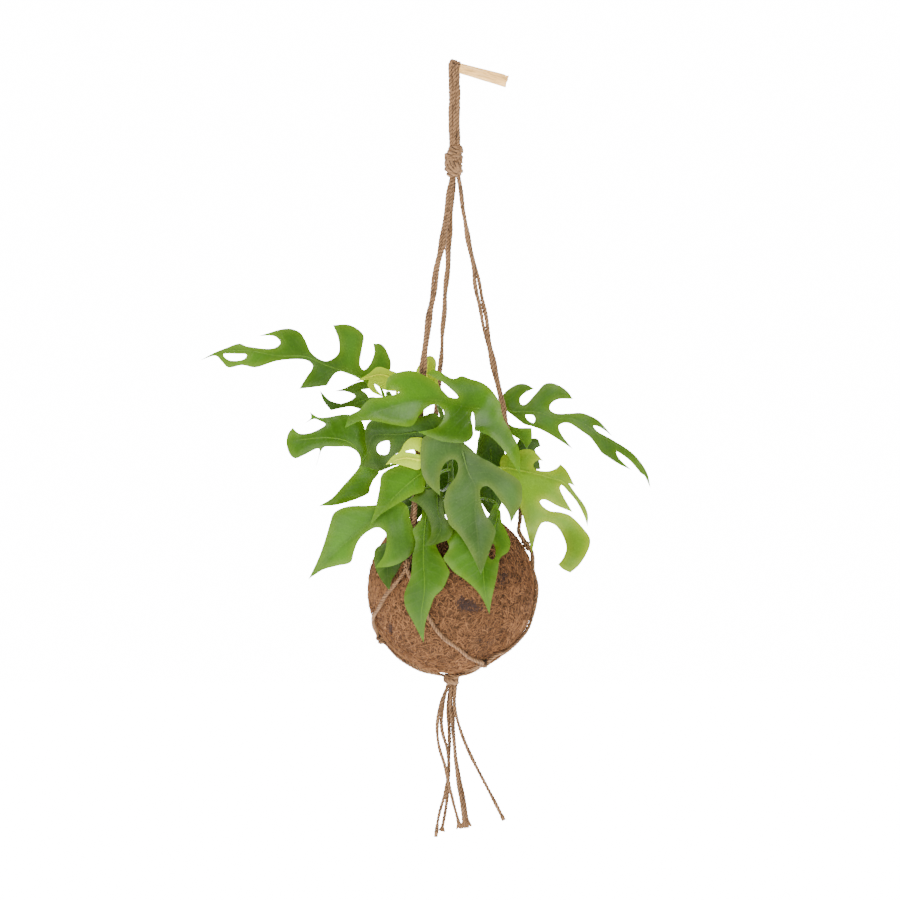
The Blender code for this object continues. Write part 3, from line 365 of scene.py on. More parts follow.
def loop_route(number):
    """A cord folded over the peg, both its ends running down into the top knot."""
    station = LOOP_STATIONS[number]
    radius = PEG_NECK_RADIUS + GAP + LOOP_LIFT
    middle = peg_axis() * station
    up = Vector((math.sin(math.radians(PEG_RISE)), 0.0, math.cos(math.radians(PEG_RISE))))
    down_x = KNOT_X + LOOP_SPACING * (1 - number)
    crown = []
    for step in range(9):
        angle = math.radians(-10 + 200 * step / 8)
        crown.append(middle + radius * (Vector((0, -math.cos(angle), 0)) + up * math.sin(angle)))
    front = []
    for height, share in ((TOP_KNOT_TOP + GAP, 1.0), (-42.0, 0.8), (-22.0, 0.45)):
        x = middle.x + (down_x - middle.x) * share
        front.append(Vector((x, -radius + (radius - 1.8) * share, height)))
    back = [Vector((point.x, -point.y, point.z)) for point in reversed(front)]
    return front + crown + back


LEGS = {
    "front": ((-51.0, -2.4), ((-60, -13, -146), (-67.5, -24, -192), (-76, -38, -255),
                              (-80.5, -48, -330)),
              ((1, 0.3, 0), (1, 0.3, 0), (-0.84, 0.54, 0))),
    "back": ((-49.2, 3.7), ((-53.0, 14, -148), (-57.5, 28, -205), (-62.0, 42, -270),
                            (-69.0, 55, -345)),
             ((1, 0.3, 0), (0.15, 1, 0), (0.94, 0.34, 0))),
    "right": ((-44.3, 0.0), ((-37.5, 0, -133), (-28.0, 0, -180), (-17.5, 0, -234),
                             (-2.0, 0, -306), (11.0, 0, -372)),
              ((0, 1, 0), (1, 0.4, 0), (0, 1, 0)))}

NET = (("front", "front_right", "beside", ((-113, -3), (-106, -23), (-95, -42), (-80, -54),
                                           (-66, -61))),
       ("right", "front_right", "above", ((-7, 22), (-8, 2), (-7, -14), (-7, -31),
                                          (-14, -45), (-25, -54), (-38, -56.5))),
       ("front", "left", "above", ((-134, 2), (-148, -14), (-163, -25), (-177, -33))),
       ("back", "left", "above", ((121, 14), (132, -6), (146, -22), (162, -33))),
       ("back", "back_right", "above", ((106, 12), (97, -12), (82, -34), (68, -47))),
       ("right", "back_right", "above", ((14, 14), (26, -12), (42, -36), (54, -48))))


def leg_routes(which):
    """The two cords from the top knot to one upper knot, lying side by side."""
    start, bends, spread = LEGS[which]
    middle, along, sideways = upper_knot(which)
    end = middle + along * (UPPER_KNOT_SIZE[1] + 0.6)
    guide = [Vector((*start, TOP_KNOT_BOTTOM - GAP - 0.3))]
    guide += [Vector(bend) for bend in bends]
    guide += [end + along * 7.0, end]
    route = smooth_route(guide, 9.0)
    first, second, third = (Vector(item).normalized() for item in spread)
    if third.dot(sideways) < 0:
        sideways = -sideways
    made = []
    for side in (1, -1):
        points = []
        for index, point in enumerate(route):
            t = index / (len(route) - 1)
            if t < 0.45:
                apart = first.lerp(second, t / 0.45)
            else:
                apart = second.lerp(sideways, (t - 0.45) / 0.55)
            points.append(point + apart.normalized() * side * PAIR_SPACING)
        made.append(points)
    return made


def drawn_together(pair, slit, lean):
    """A pair of cords lying closer together, leaning sideways up high and slit lower down."""
    made = ([], [])
    for first, second in zip(*pair):
        middle = (first + second) / 2
        near = math.exp(-((middle.z - SLIT_HEIGHT) / SLIT_REACH) ** 2)
        apart = (first - middle) * (PAIR_CLOSENESS + slit * near)
        high = 1.0 / (1.0 + math.exp((PARTING_HEIGHT - middle.z) / PARTING_REACH))
        middle = middle + Vector((lean * high, 0.0, 0.0))
        made[0].append(middle + apart)
        made[1].append(middle - apart)
    return made


def hug(point, pull):
    """A point drawn in towards the pot's middle."""
    out = point - POT_CENTRE
    return POT_CENTRE + out * (1.0 - pull / out.length)


def net_route(upper, lower, side, way):
    """A cord lying on the ball from an upper knot to a lower knot."""
    top, top_along, top_side = upper_knot(upper)
    low, low_along, low_side = lower_knot(lower)
    lift = CORD_RADIUS + GAP + 0.4
    spots = [on_pot(azimuth, height, lift) for azimuth, height in way]
    start = top - top_along * (UPPER_KNOT_SIZE[1] + 1.3)
    if (spots[0] - top).dot(top_side) < 0:
        top_side = -top_side
    start = start + top_side * 1.8
    start = POT_CENTRE + (start - POT_CENTRE).normalized() * max(
        (start - POT_CENTRE).length, POT_RADIUS + lift)
    if (spots[-1] - low).dot(low_side) < 0:
        low_side = -low_side
    if side == "above":
        end = low + low_along * (LOWER_KNOT_SIZE[1] + 1.2) + low_side * 2.3
    else:
        end = low + low_side * (LOWER_KNOT_SIZE[0] + 1.4) + low_along * 2.5
    return [start] + spots + [hug(end, NET_PULL)]


BOTTOM = Vector((KNOT_X - 2.0, 0.0, POT_Z - POT_RADIUS - GAP - BOTTOM_KNOT_HALF))


def gather_route(which):
    """The pair of cords running under the ball from a lower knot to the bottom knot."""
    middle, along, _ = lower_knot(which)
    azimuth = math.radians(LOWER_KNOTS[which][0])
    outward = Vector((math.cos(azimuth), math.sin(azimuth), 0.0))
    end = BOTTOM + outward * (BOTTOM_KNOT_RADIUS + 0.7)
    end.z = BOTTOM.z + 2.9
    start = hug(middle - along * (LOWER_KNOT_SIZE[1] + 0.7), GATHER_PULL)
    guide = [start]
    for share in (0.12, 0.3, 0.6, 0.85):
        spot = start.lerp(end, share) - POT_CENTRE
        guide.append(POT_CENTRE + spot.normalized() * (POT_RADIUS + CORD_RADIUS + GAP + 0.2))
    return guide + [end]


# where each tail starts, its sideways drift by depth, its depth and its reach
TAILS = (((-3.8, -1.8), (-10.5, -13.5, -12, -6.5, -2.5, 2, 7), -1, 128),
         ((-4.0, 1.4), (-8.5, -9.5, -4.5, -3, -6.5, -12, -14.8), 1, 137),
         ((-1.2, 3.1), (-4, -3, -2.5, -3.5, -4, -6, -9.5), 5, 132),
         ((-0.6, -0.7), (-1.5, 0, 2, 3.5, 5.5, 9, 11), -3, 128),
         ((2.2, 2.3), (1.5, 1, 2, 4.5, 8, 11.5, 13.8), 3, 127),
         ((3.1, -2.1), (2, 5.5, 11.5, 19.5, 28.5, 37.5, 46.3), -4, 121))


def tail_route(number):
    """One cord end hanging below the bottom knot."""
    top = BOTTOM.z - BOTTOM_KNOT_HALF - GAP - 0.1
    start, drift, depth, reach = TAILS[number]
    guide = [Vector((BOTTOM.x + start[0], start[1], top))]
    for step, across in enumerate(drift):
        share = (step + 1) / len(drift)
        sway = 1.6 * math.sin(2.2 * step + number * 1.9)
        guide.append(Vector((BOTTOM.x + across, start[1] + depth * share + sway * share,
                             top - reach * share)))
    return smooth_route(guide, 7.8)


# ---------------------------------------------------------------- threads gathered in a mesh

class Threads:
    """Round threads gathered into one mesh, with a place and a shade kept on each point."""

    def __init__(self):
        self.verts = []
        self.faces = []
        self.along = []
        self.shade = []
        self.crease = []

    def count(self):
        """Points so far."""
        return sum(len(part) for part in self.verts)

    def add(self, centres, radii, outward, sides, shade, along=None, laid=False):
        """Many threads at once: centres (threads, points, 3), radii (threads, points),
        outward (threads, points, 3) a direction that isn't along the thread. On a laid cord
        each ply's side that faces its neighbours is kept as painted shade, dark in its groove."""
        total, points, _ = centres.shape
        heading = np.gradient(centres, axis=1)
        heading /= np.linalg.norm(heading, axis=2, keepdims=True) + 1e-12
        side = np.cross(heading, outward)
        side /= np.linalg.norm(side, axis=2, keepdims=True) + 1e-12
        other = np.cross(heading, side)
        angle = np.arange(sides) * 2 * math.pi / sides
        ring = (side[:, :, None, :] * np.cos(angle)[None, None, :, None]
                + other[:, :, None, :] * np.sin(angle)[None, None, :, None])
        spots = centres[:, :, None, :] + ring * radii[:, :, None, None]
        # how far each point faces into the cord; on a laid cord this is kept as painted shade in
        # the grooves between plies
        inward = 1.0 - np.sum(ring * outward[:, :, None, :], axis=3)
        self.crease.append((inward * (1.0 if laid else 0.0)).reshape(-1))
        base = self.count()
        self.verts.append(spots.reshape(-1, 3))
        if along is None:
            steps = np.linalg.norm(np.diff(centres, axis=1), axis=2)
            along = np.concatenate([np.zeros((total, 1)), np.cumsum(steps, axis=1)], axis=1)
        self.along.append(np.repeat(along.reshape(-1), sides))
        shade = np.broadcast_to(np.asarray(shade, float).reshape(total, -1), (total, points))
        self.shade.append(np.repeat(shade.reshape(-1), sides))
        for thread in range(total):
            start = base + thread * points * sides
            for point in range(points - 1):
                low = start + point * sides
                for k in range(sides):
                    n = (k + 1) % sides
                    self.faces.append((low + k, low + n, low + sides + n, low + sides + k))
            self.faces.append(tuple(start + k for k in reversed(range(sides))))
            last = start + (points - 1) * sides
            self.faces.append(tuple(last + k for k in range(sides)))

    def piece(self, name, paint):
        """All the threads as one object."""
        verts = np.concatenate(self.verts) * MM
        made = new_piece(name, verts, self.faces, paint)
        give(made, along=np.concatenate(self.along), shade=np.concatenate(self.shade),
             crease=np.concatenate(self.crease))
        return made


def placed(name, data):
    """A new object in the scene."""
    made = bpy.data.objects.new(name, data)
    bpy.context.scene.collection.objects.link(made)
    return made


def pick(piece):
    """Make a piece the only one selected, and active."""
    bpy.ops.object.select_all(action="DESELECT")
    piece.select_set(True)
    bpy.context.view_layer.objects.active = piece


def new_piece(name, verts, faces, paint):
    """A mesh object at the origin."""
    mesh = bpy.data.meshes.new(name)
    mesh.from_pydata(np.asarray(verts).tolist(), [], faces)
    mesh.materials.append(paint)
    mesh.shade_smooth()
    return placed(name, mesh)


def spun(name, section, steps):
    """A closed skin spun about the pot's upright axis from a section given from its centre."""
    section[0] = (0.0, section[0][1])
    section[-1] = (0.0, section[-1][1])
    verts = [((POT_X + x) * MM, 0.0, (POT_Z + z) * MM) for x, z in section]
    mesh = bpy.data.meshes.new(name)
    mesh.from_pydata(verts, [(i, i + 1) for i in range(len(verts) - 1)], [])
    made = placed(name, mesh)
    pick(made)
    bpy.ops.object.mode_set(mode="EDIT")
    bpy.ops.mesh.select_all(action="SELECT")
    bpy.ops.mesh.spin(steps=steps, angle=2 * math.pi, center=POT_CENTRE * MM, axis=(0, 0, 1))
    bpy.ops.mesh.select_all(action="SELECT")
    bpy.ops.mesh.remove_doubles(threshold=0.00002)
    bpy.ops.mesh.normals_make_consistent(inside=False)
    bpy.ops.object.mode_set(mode="OBJECT")
    return made


def give(piece, **kept):
    """Keep named values on each point of a piece, for its paint to read."""
    for name, values in kept.items():
        store = piece.data.attributes.new(name, "FLOAT", "POINT")
        store.data.foreach_set("value", np.asarray(values, dtype=np.float32))


def seat(piece, slot, *nodes):
    """Parent a piece to the root and hide the solids that it stands for."""
    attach(piece, "root")
    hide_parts(*nodes)
    return piece


def carried(route):
    """Directions along a route and two sideways ones that don't twist about it."""
    heading = np.gradient(route, axis=0)
    heading /= np.linalg.norm(heading, axis=1, keepdims=True) + 1e-12
    start = np.array((0.0, 1.0, 0.0)) if abs(heading[0][1]) < 0.8 else np.array((1.0, 0.0, 0.0))
    side = [start]
    for step in heading:
        turned = side[-1] - step * np.dot(side[-1], step)
        side.append(turned / np.linalg.norm(turned))
    side = np.array(side[1:])
    return heading, side, np.cross(heading, side)


def lay_rope(threads, points, radius, pitch, chance, fuzz, step=1.15, end_scale=1.0,
             wander=0.0):
    """A laid cord of three plies along a route, with loose hairs standing off it."""
    route = smooth_line(points, step)
    heading, side, other = carried(route)
    reach = reaches(route)
    phase = chance.random() * NEAR_TURN
    if wander:
        fade = np.minimum(1.0, np.minimum(reach, reach[-1] - reach) / 12.0) * wander
        sway = np.sin(reach / 8.3 + phase) * 0.6 + np.sin(reach / 4.1 + 2.0 * phase) * 0.4
        route = route + side * (fade * sway)[:, None]
        route = route + other * (fade * np.sin(reach / 6.2 + 3.0 * phase))[:, None]
    swell = 1.0 + 0.10 * np.sin(reach / 9.1 + phase) + 0.06 * np.sin(reach / 3.7 + 2 * phase)
    swell *= np.linspace(1.0, end_scale, len(reach))
    for ply in range(3):
        angle = phase + 2 * math.pi * (reach / pitch + ply / 3)
        out = side * np.cos(angle)[:, None] + other * np.sin(angle)[:, None]
        centre = route + out * (0.50 * radius * swell)[:, None]
        rough = 1.0 + 0.10 * np.sin(reach * 1.7 + ply * 2.1 + phase)
        radii = 0.60 * radius * swell * rough
        # each ply is laid, so it carries painted shade where it faces its neighbours
        threads.add(centre[None], radii[None], out[None], 8, chance.random(), reach[None], True)
    hairs = int(fuzz * reach[-1] * MM)
    if hairs:
        lay_hairs(threads, route, heading, side, other, radius, hairs, chance)
    return route


def lay_hairs(threads, route, heading, side, other, radius, hairs, chance):
    """Short bent hairs leaving a cord's surface."""
    centres, outs, shades = [], [], []
    for _ in range(hairs):
        place = chance.randrange(len(route))
        turn = chance.random() * TURN
        out = spoke(side[place], other[place], turn)
        lean = chance.choice((-1, 1)) * chance.uniform(0.5, 1.6)
        length = chance.uniform(1.0, 2.7)
        sweep = np.array([chance.uniform(-1, 1) for _ in range(3)])
        start = route[place] + out * radius * 0.75
        line = []
        for t in (0.0, 0.35, 0.7, 1.0):
            line.append(start + (out * 0.55 + heading[place] * lean * (1 - 0.4 * t)
                                 + sweep * 0.5 * t) * length * t * 0.75)
        centres.append(line)
        outs.append([np.cross(heading[place], out)] * 4)
        shades.append(0.4 + 0.6 * chance.random())
    radii = np.tile(np.array((0.13, 0.10, 0.08, 0.05)), (hairs, 1))
    threads.add(np.array(centres), radii, np.array(outs), 3, shades)


def wind_knot(threads, middle, along, radius, half, cord, turns, tilt, chance, fuzz=300):
    """Wraps of cord wound side by side about an axis, as a pulled knot shows them."""
    axis = Vector(along).normalized()
    aside = axis.orthogonal().normalized()
    across = axis.cross(aside)
    middle = Vector(middle)
    points = []
    steps = int(turns * 14)
    start = chance.random() * NEAR_TURN
    for step in range(steps + 1):
        t = step / steps
        angle = start + 2 * math.pi * turns * t
        height = half - cord - (2 * half - 2 * cord) * t
        height += tilt * math.sin(angle)
        bulge = math.sqrt(max(0.05, 1.0 - (height / (half * 1.25)) ** 2))
        reach = (radius - cord) * bulge * (1 + 0.05 * math.sin(3 * angle + start))
        height = max(cord - half, min(half - cord, height))
        points.append(middle + axis * height + spoke(aside, across, angle) * reach)
    lay_rope(threads, points, cord, 8.0, chance, fuzz, step=1.3)


def bold_knot(threads, middle, along, radius, half, cord, chance):
    """Thick cords that cross over a long knot: five slant one way and three the other way
    over its front, three pass behind, and one turns round its neck and one round its foot."""
    axis = Vector(along).normalized()
    aside = Vector((1.0, 0.0, 0.0))
    aside = (aside - axis * aside.dot(axis)).normalized()
    across = axis.cross(aside)
    middle = Vector(middle)

    def strand(start, end, top, foot, swell, lift):
        points = []
        for step in range(15):
            t = step / 14
            angle = math.radians(start + (end - start) * t)
            height = half * (top + (foot - top) * t)
            full = math.sqrt(max(0.10, 1.0 - (height / (half * 1.12)) ** 2))
            reach = (radius - cord) * full * swell * 1.08 + lift * math.sin(math.pi * t)
            points.append(middle + axis * height + spoke(aside, across, angle) * reach)
        lay_rope(threads, points, cord, 15.0, chance, 300, step=1.3)

    # the front is at 270 degrees
    for number in range(5):
        strand(186 + 28 * number, 300 + 20 * number, -0.30 + 0.19 * number,
               0.44 + 0.13 * number, 1.04, 0.3)
    for number in range(3):
        strand(345 - 16 * number, 190 - 14 * number, -0.62 + 0.03 * number,
               0.26 - 0.34 * number, 1.10, 1.0)
    for start, level in ((20, 0.55), (140, 0.1), (60, -0.4)):
        strand(start, start + 120, level - 0.25, level + 0.25, 1.0, 0.4)
    strand(0, 420, -0.80, -0.70, 0.92, 0.0)
    strand(90, 480, 0.86, 0.74, 0.86, 0.0)
    strand(150, 300, 0.30, 0.62, 1.06, 0.6)


def knot_core(threads, middle, along, radius, half):
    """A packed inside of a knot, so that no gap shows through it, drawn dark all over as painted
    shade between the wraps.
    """
    axis = Vector(along).normalized()
    points = [Vector(middle) + axis * half * share
              for share in (-0.9, -0.75, -0.4, 0.0, 0.4, 0.75, 0.9)]
    route = np.array([tuple(point) for point in points])
    _, side, _ = carried(route)
    radii = radius * np.array((0.3, 0.6, 0.92, 1.0, 0.92, 0.6, 0.3))
    threads.add(route[None], radii[None], side[None], 12, 0.1)
    # the whole inside is painted shade
    threads.crease[-1][:] = 1.0


# ---------------------------------------------------------------- finishes

def jute_paint(colours):
    """Jute: straw brown plies with darker and paler hairs along them, and painted shade in
    the grooves between plies and on the packed inside of each knot.
    """
    paint = Paint("Jute", 0.92, 0.18)
    along = paint.attribute("along")
    shade = paint.attribute("shade")
    place = paint.place()
    streak = paint.noise(paint.vector(along * 0.11, shade * 37.0, 0.0), 1.0, 2.0)
    hairs = paint.noise(place, 1500.0, 2.0, 0.7)
    patch = paint.noise(place, 60.0, 2.0)
    low = tint(colours.jute, 0.36)
    body = paint.mix(low, colours.jute, streak.ramp(0.32, 0.52))
    body = paint.mix(body, tint(colours.jute, 1.62), hairs.ramp(0.48, 0.72))
    body = paint.mix(body, tint(colours.jute, 0.55), patch.ramp(0.56, 0.74) * 0.6)
    # painted shade: near black in the grooves between plies and on the packed inside of each knot
    body = paint.mix(body, tint(colours.jute, 0.16), paint.attribute("crease").ramp(0.25, 1.05))
    paint.feed("Base Color", body)
    paint.bump(hairs + streak * 0.5, 0.5, 0.0004)
    paint.shader.inputs["Sheen Weight"].default_value = 0.06
    paint.shader.inputs["Sheen Roughness"].default_value = 0.6
    return paint.material


def coir_paint(name, colours, dark):
    """Coconut fibre: every strand its own brown, darker in stains, with painted shade deep
    between strands; `dark` below one scales it all down as painted shade under the strands.
    """
    paint = Paint(name, 0.95, 0.15)
    shade = paint.attribute("shade")
    stain = paint.attribute("stain")
    place = paint.place()
    fine = paint.noise(place, 900.0, 3.0, 0.7)
    patch = paint.noise(place, 38.0, 3.0)
    body = paint.mix(tint(colours.coir, 0.52 * dark), tint(colours.coir, 1.75 * dark),
                     (shade * 0.75 + fine * 0.25).ramp(0.08, 0.95))
    body = paint.mix(body, tint(colours.coir, 0.62 * dark), patch.ramp(0.50, 0.72) * 0.5)
    # painted shade: near black in the hollows between strands where this noise is high, with paler
    # flecks where it is low
    hollow_shade_noise = paint.noise(place, 330.0, 2.0, 0.6)
    body = paint.mix(body, tint(colours.coir, 0.16), hollow_shade_noise.ramp(0.56, 0.68) * 0.85)
    body = paint.mix(body, tint(colours.coir, 1.9), hollow_shade_noise.ramp(0.30, 0.40, 0.35, 0.0))
    ragged = (stain + (paint.noise(place, 520.0, 2.0, 0.7) - 0.5) * 2.8).ramp(0.40, 0.62)
    body = paint.mix(body, (0.040, 0.026, 0.024), ragged * (stain * 3.0).ramp(0.0, 1.0) * 0.85)
    paint.feed("Base Color", body)
    paint.bump(fine, 0.6, 0.0006)
    return paint.material


def wood_paint(colours):
    """Pale split pine with grain along the peg and a darker torn end."""
    paint = Paint("Pine", 0.72, 0.3)
    place = paint.place()
    turned = paint.node("ShaderNodeMapping", {"vector_type": "TEXTURE"},
                        {"Vector": place, "Rotation": (0.0, math.radians(PEG_RISE), 0.0),
                         "Scale": (9.0, 1.0, 1.0)})
    grain = paint.noise(turned, 1100.0, 3.0, 0.65)
    broad = paint.noise(turned, 260.0, 2.0)
    body = paint.mix(tint(colours.wood, 0.55), colours.wood, grain.ramp(0.34, 0.55))
    body = paint.mix(body, (0.92, 0.62, 0.28), broad.ramp(0.50, 0.66) * 0.7)
    body = paint.mix(body, tint(colours.wood, 0.30), paint.attribute("dark"))
    paint.feed("Base Color", body)
    paint.bump(grain, 0.5, 0.0005)
    return paint.material


def soil_paint():
    """Dark potting mix."""
    paint = Paint("Potting Soil", 0.95, 0.2)
    place = paint.place()
    grit = paint.noise(place, 420.0, 4.0, 0.7)
    damp = paint.noise(place, 60.0, 2.0)
    body = paint.mix((0.014, 0.009, 0.006), (0.085, 0.055, 0.034), grit.ramp(0.38, 0.68))
    body = paint.mix(body, (0.02, 0.013, 0.008), damp.ramp(0.45, 0.65) * 0.7)
    paint.feed("Base Color", body)
    paint.bump(grit, 0.9, 0.0012)
    return paint.material


def stem_paint():
    """Green stems with brownish flecks."""
    paint = Paint("Stem Green", 0.62, 0.15)
    place = paint.place()
    broad = paint.noise(place, 90.0, 3.0)
    fine = paint.noise(place, 700.0, 2.0)
    body = paint.mix((0.038, 0.088, 0.008), (0.08, 0.150, 0.016), broad.ramp(0.35, 0.65))
    body = paint.mix(body, (0.14, 0.11, 0.035), fine.ramp(0.60, 0.75) * 0.5)
    paint.feed("Base Color", body)
    paint.bump(fine, 0.3, 0.0003)
    return paint.material


def leaf_paint(name, colour, seed, gloss, pale):
    """A leaf blade: pale rib, faint side veins that run out along the lobes, soft gloss,
    painted shade beside the rib and painted light near the rim.
    """
    paint = Paint(name, gloss, 0.20)
    along = paint.attribute("along")
    across = paint.attribute("across")
    rim = paint.attribute("rim")
    stalk = paint.attribute("stalk")
    place = paint.place()
    drift = paint.vector(along * 0.02 + seed, across * 0.02, 0.0)
    wobble = paint.noise(drift, 2.4, 2.0)
    away = abs(across)
    # side veins leave the rib at a slant and fade towards the rim, with finer ones between
    slanted = along - away * VEIN_SLANT + wobble * 7.0
    vein = (slanted * (1 / VEIN_GAP)).fraction()
    main = abs(vein - 0.5).ramp(0.0, 0.075, 1.0, 0.0) * away.ramp(4.0, 46.0, 1.0, 0.25)
    fine = (slanted * (4 / VEIN_GAP)).fraction()
    minor = abs(fine - 0.5).ramp(0.0, 0.22, 1.0, 0.0)
    rib = away.ramp(0.25, 0.9, 1.0, 0.0)
    # painted shade in the groove beside the rib
    beside = away.ramp(0.9, 4.0, 1.0, 0.0)
    cloud = paint.noise(place, 15.0, 2.0)
    mottle = paint.noise(place, 210.0, 3.0, 0.6)
    # painted light: a yellower, sunlit tone in patches within about 11 mm of the rim
    edge = rim.ramp(0.0, 11.0, 1.0, 0.0)
    painted_edge_light = (colour[0] * 2.1, colour[1] * 1.36, colour[2] * 0.9)
    if colour[0] > 0.1:
        painted_edge_light = (colour[0] * 1.12, colour[1] * 1.18, colour[2])
    body = paint.mix(tint(colour, 0.60), tint(colour, 1.22), cloud.ramp(0.30, 0.70))
    body = paint.mix(body, painted_edge_light, edge * edge * cloud.ramp(0.25, 0.6, 0.15, 0.75))
    body = paint.mix(body, tint(colour, 1.30), mottle.ramp(0.45, 0.78) * 0.16)
    body = paint.mix(body, tint(colour, 0.80), minor * 0.12)
    body = paint.mix(body, tint(colour, 0.55), beside * 0.26)
    body = paint.mix(body, pale, main * 0.05)
    body = paint.mix(body, pale, rib * 0.06)
    body = paint.mix(body, tint(colour, 1.7), rim.ramp(0.1, 0.7, 0.30, 0.0))
    body = paint.mix(body, (colour[0] * 1.9, colour[1] * 1.5, colour[2] * 2.0), stalk)
    paint.feed("Base Color", body)
    paint.feed("Roughness", mottle * 0.18 + cloud * 0.14 + (gloss - 0.14))
    paint.bump(main * -0.4 + minor * -0.10 + mottle * 0.20, 0.35, 0.0006)
    return paint.material


# ---------------------------------------------------------------- stems and leaves

STEMS = {
    "stem_left": ((-62, 6, -405.2), (-71, 3, -362), (-86, 1, -322), (-100, 1, -294),
                  (-109, 2, -279)),
    "stem_middle": ((-51, -7, -405.2), (-51, -9, -362), (-55, -7, -322), (-63, -3, -288),
                    (-68, -1, -274)),
    "stem_right": ((-38, 6, -405.2), (-31, 9, -362), (-25, 11, -325), (-20, 12, -300))}

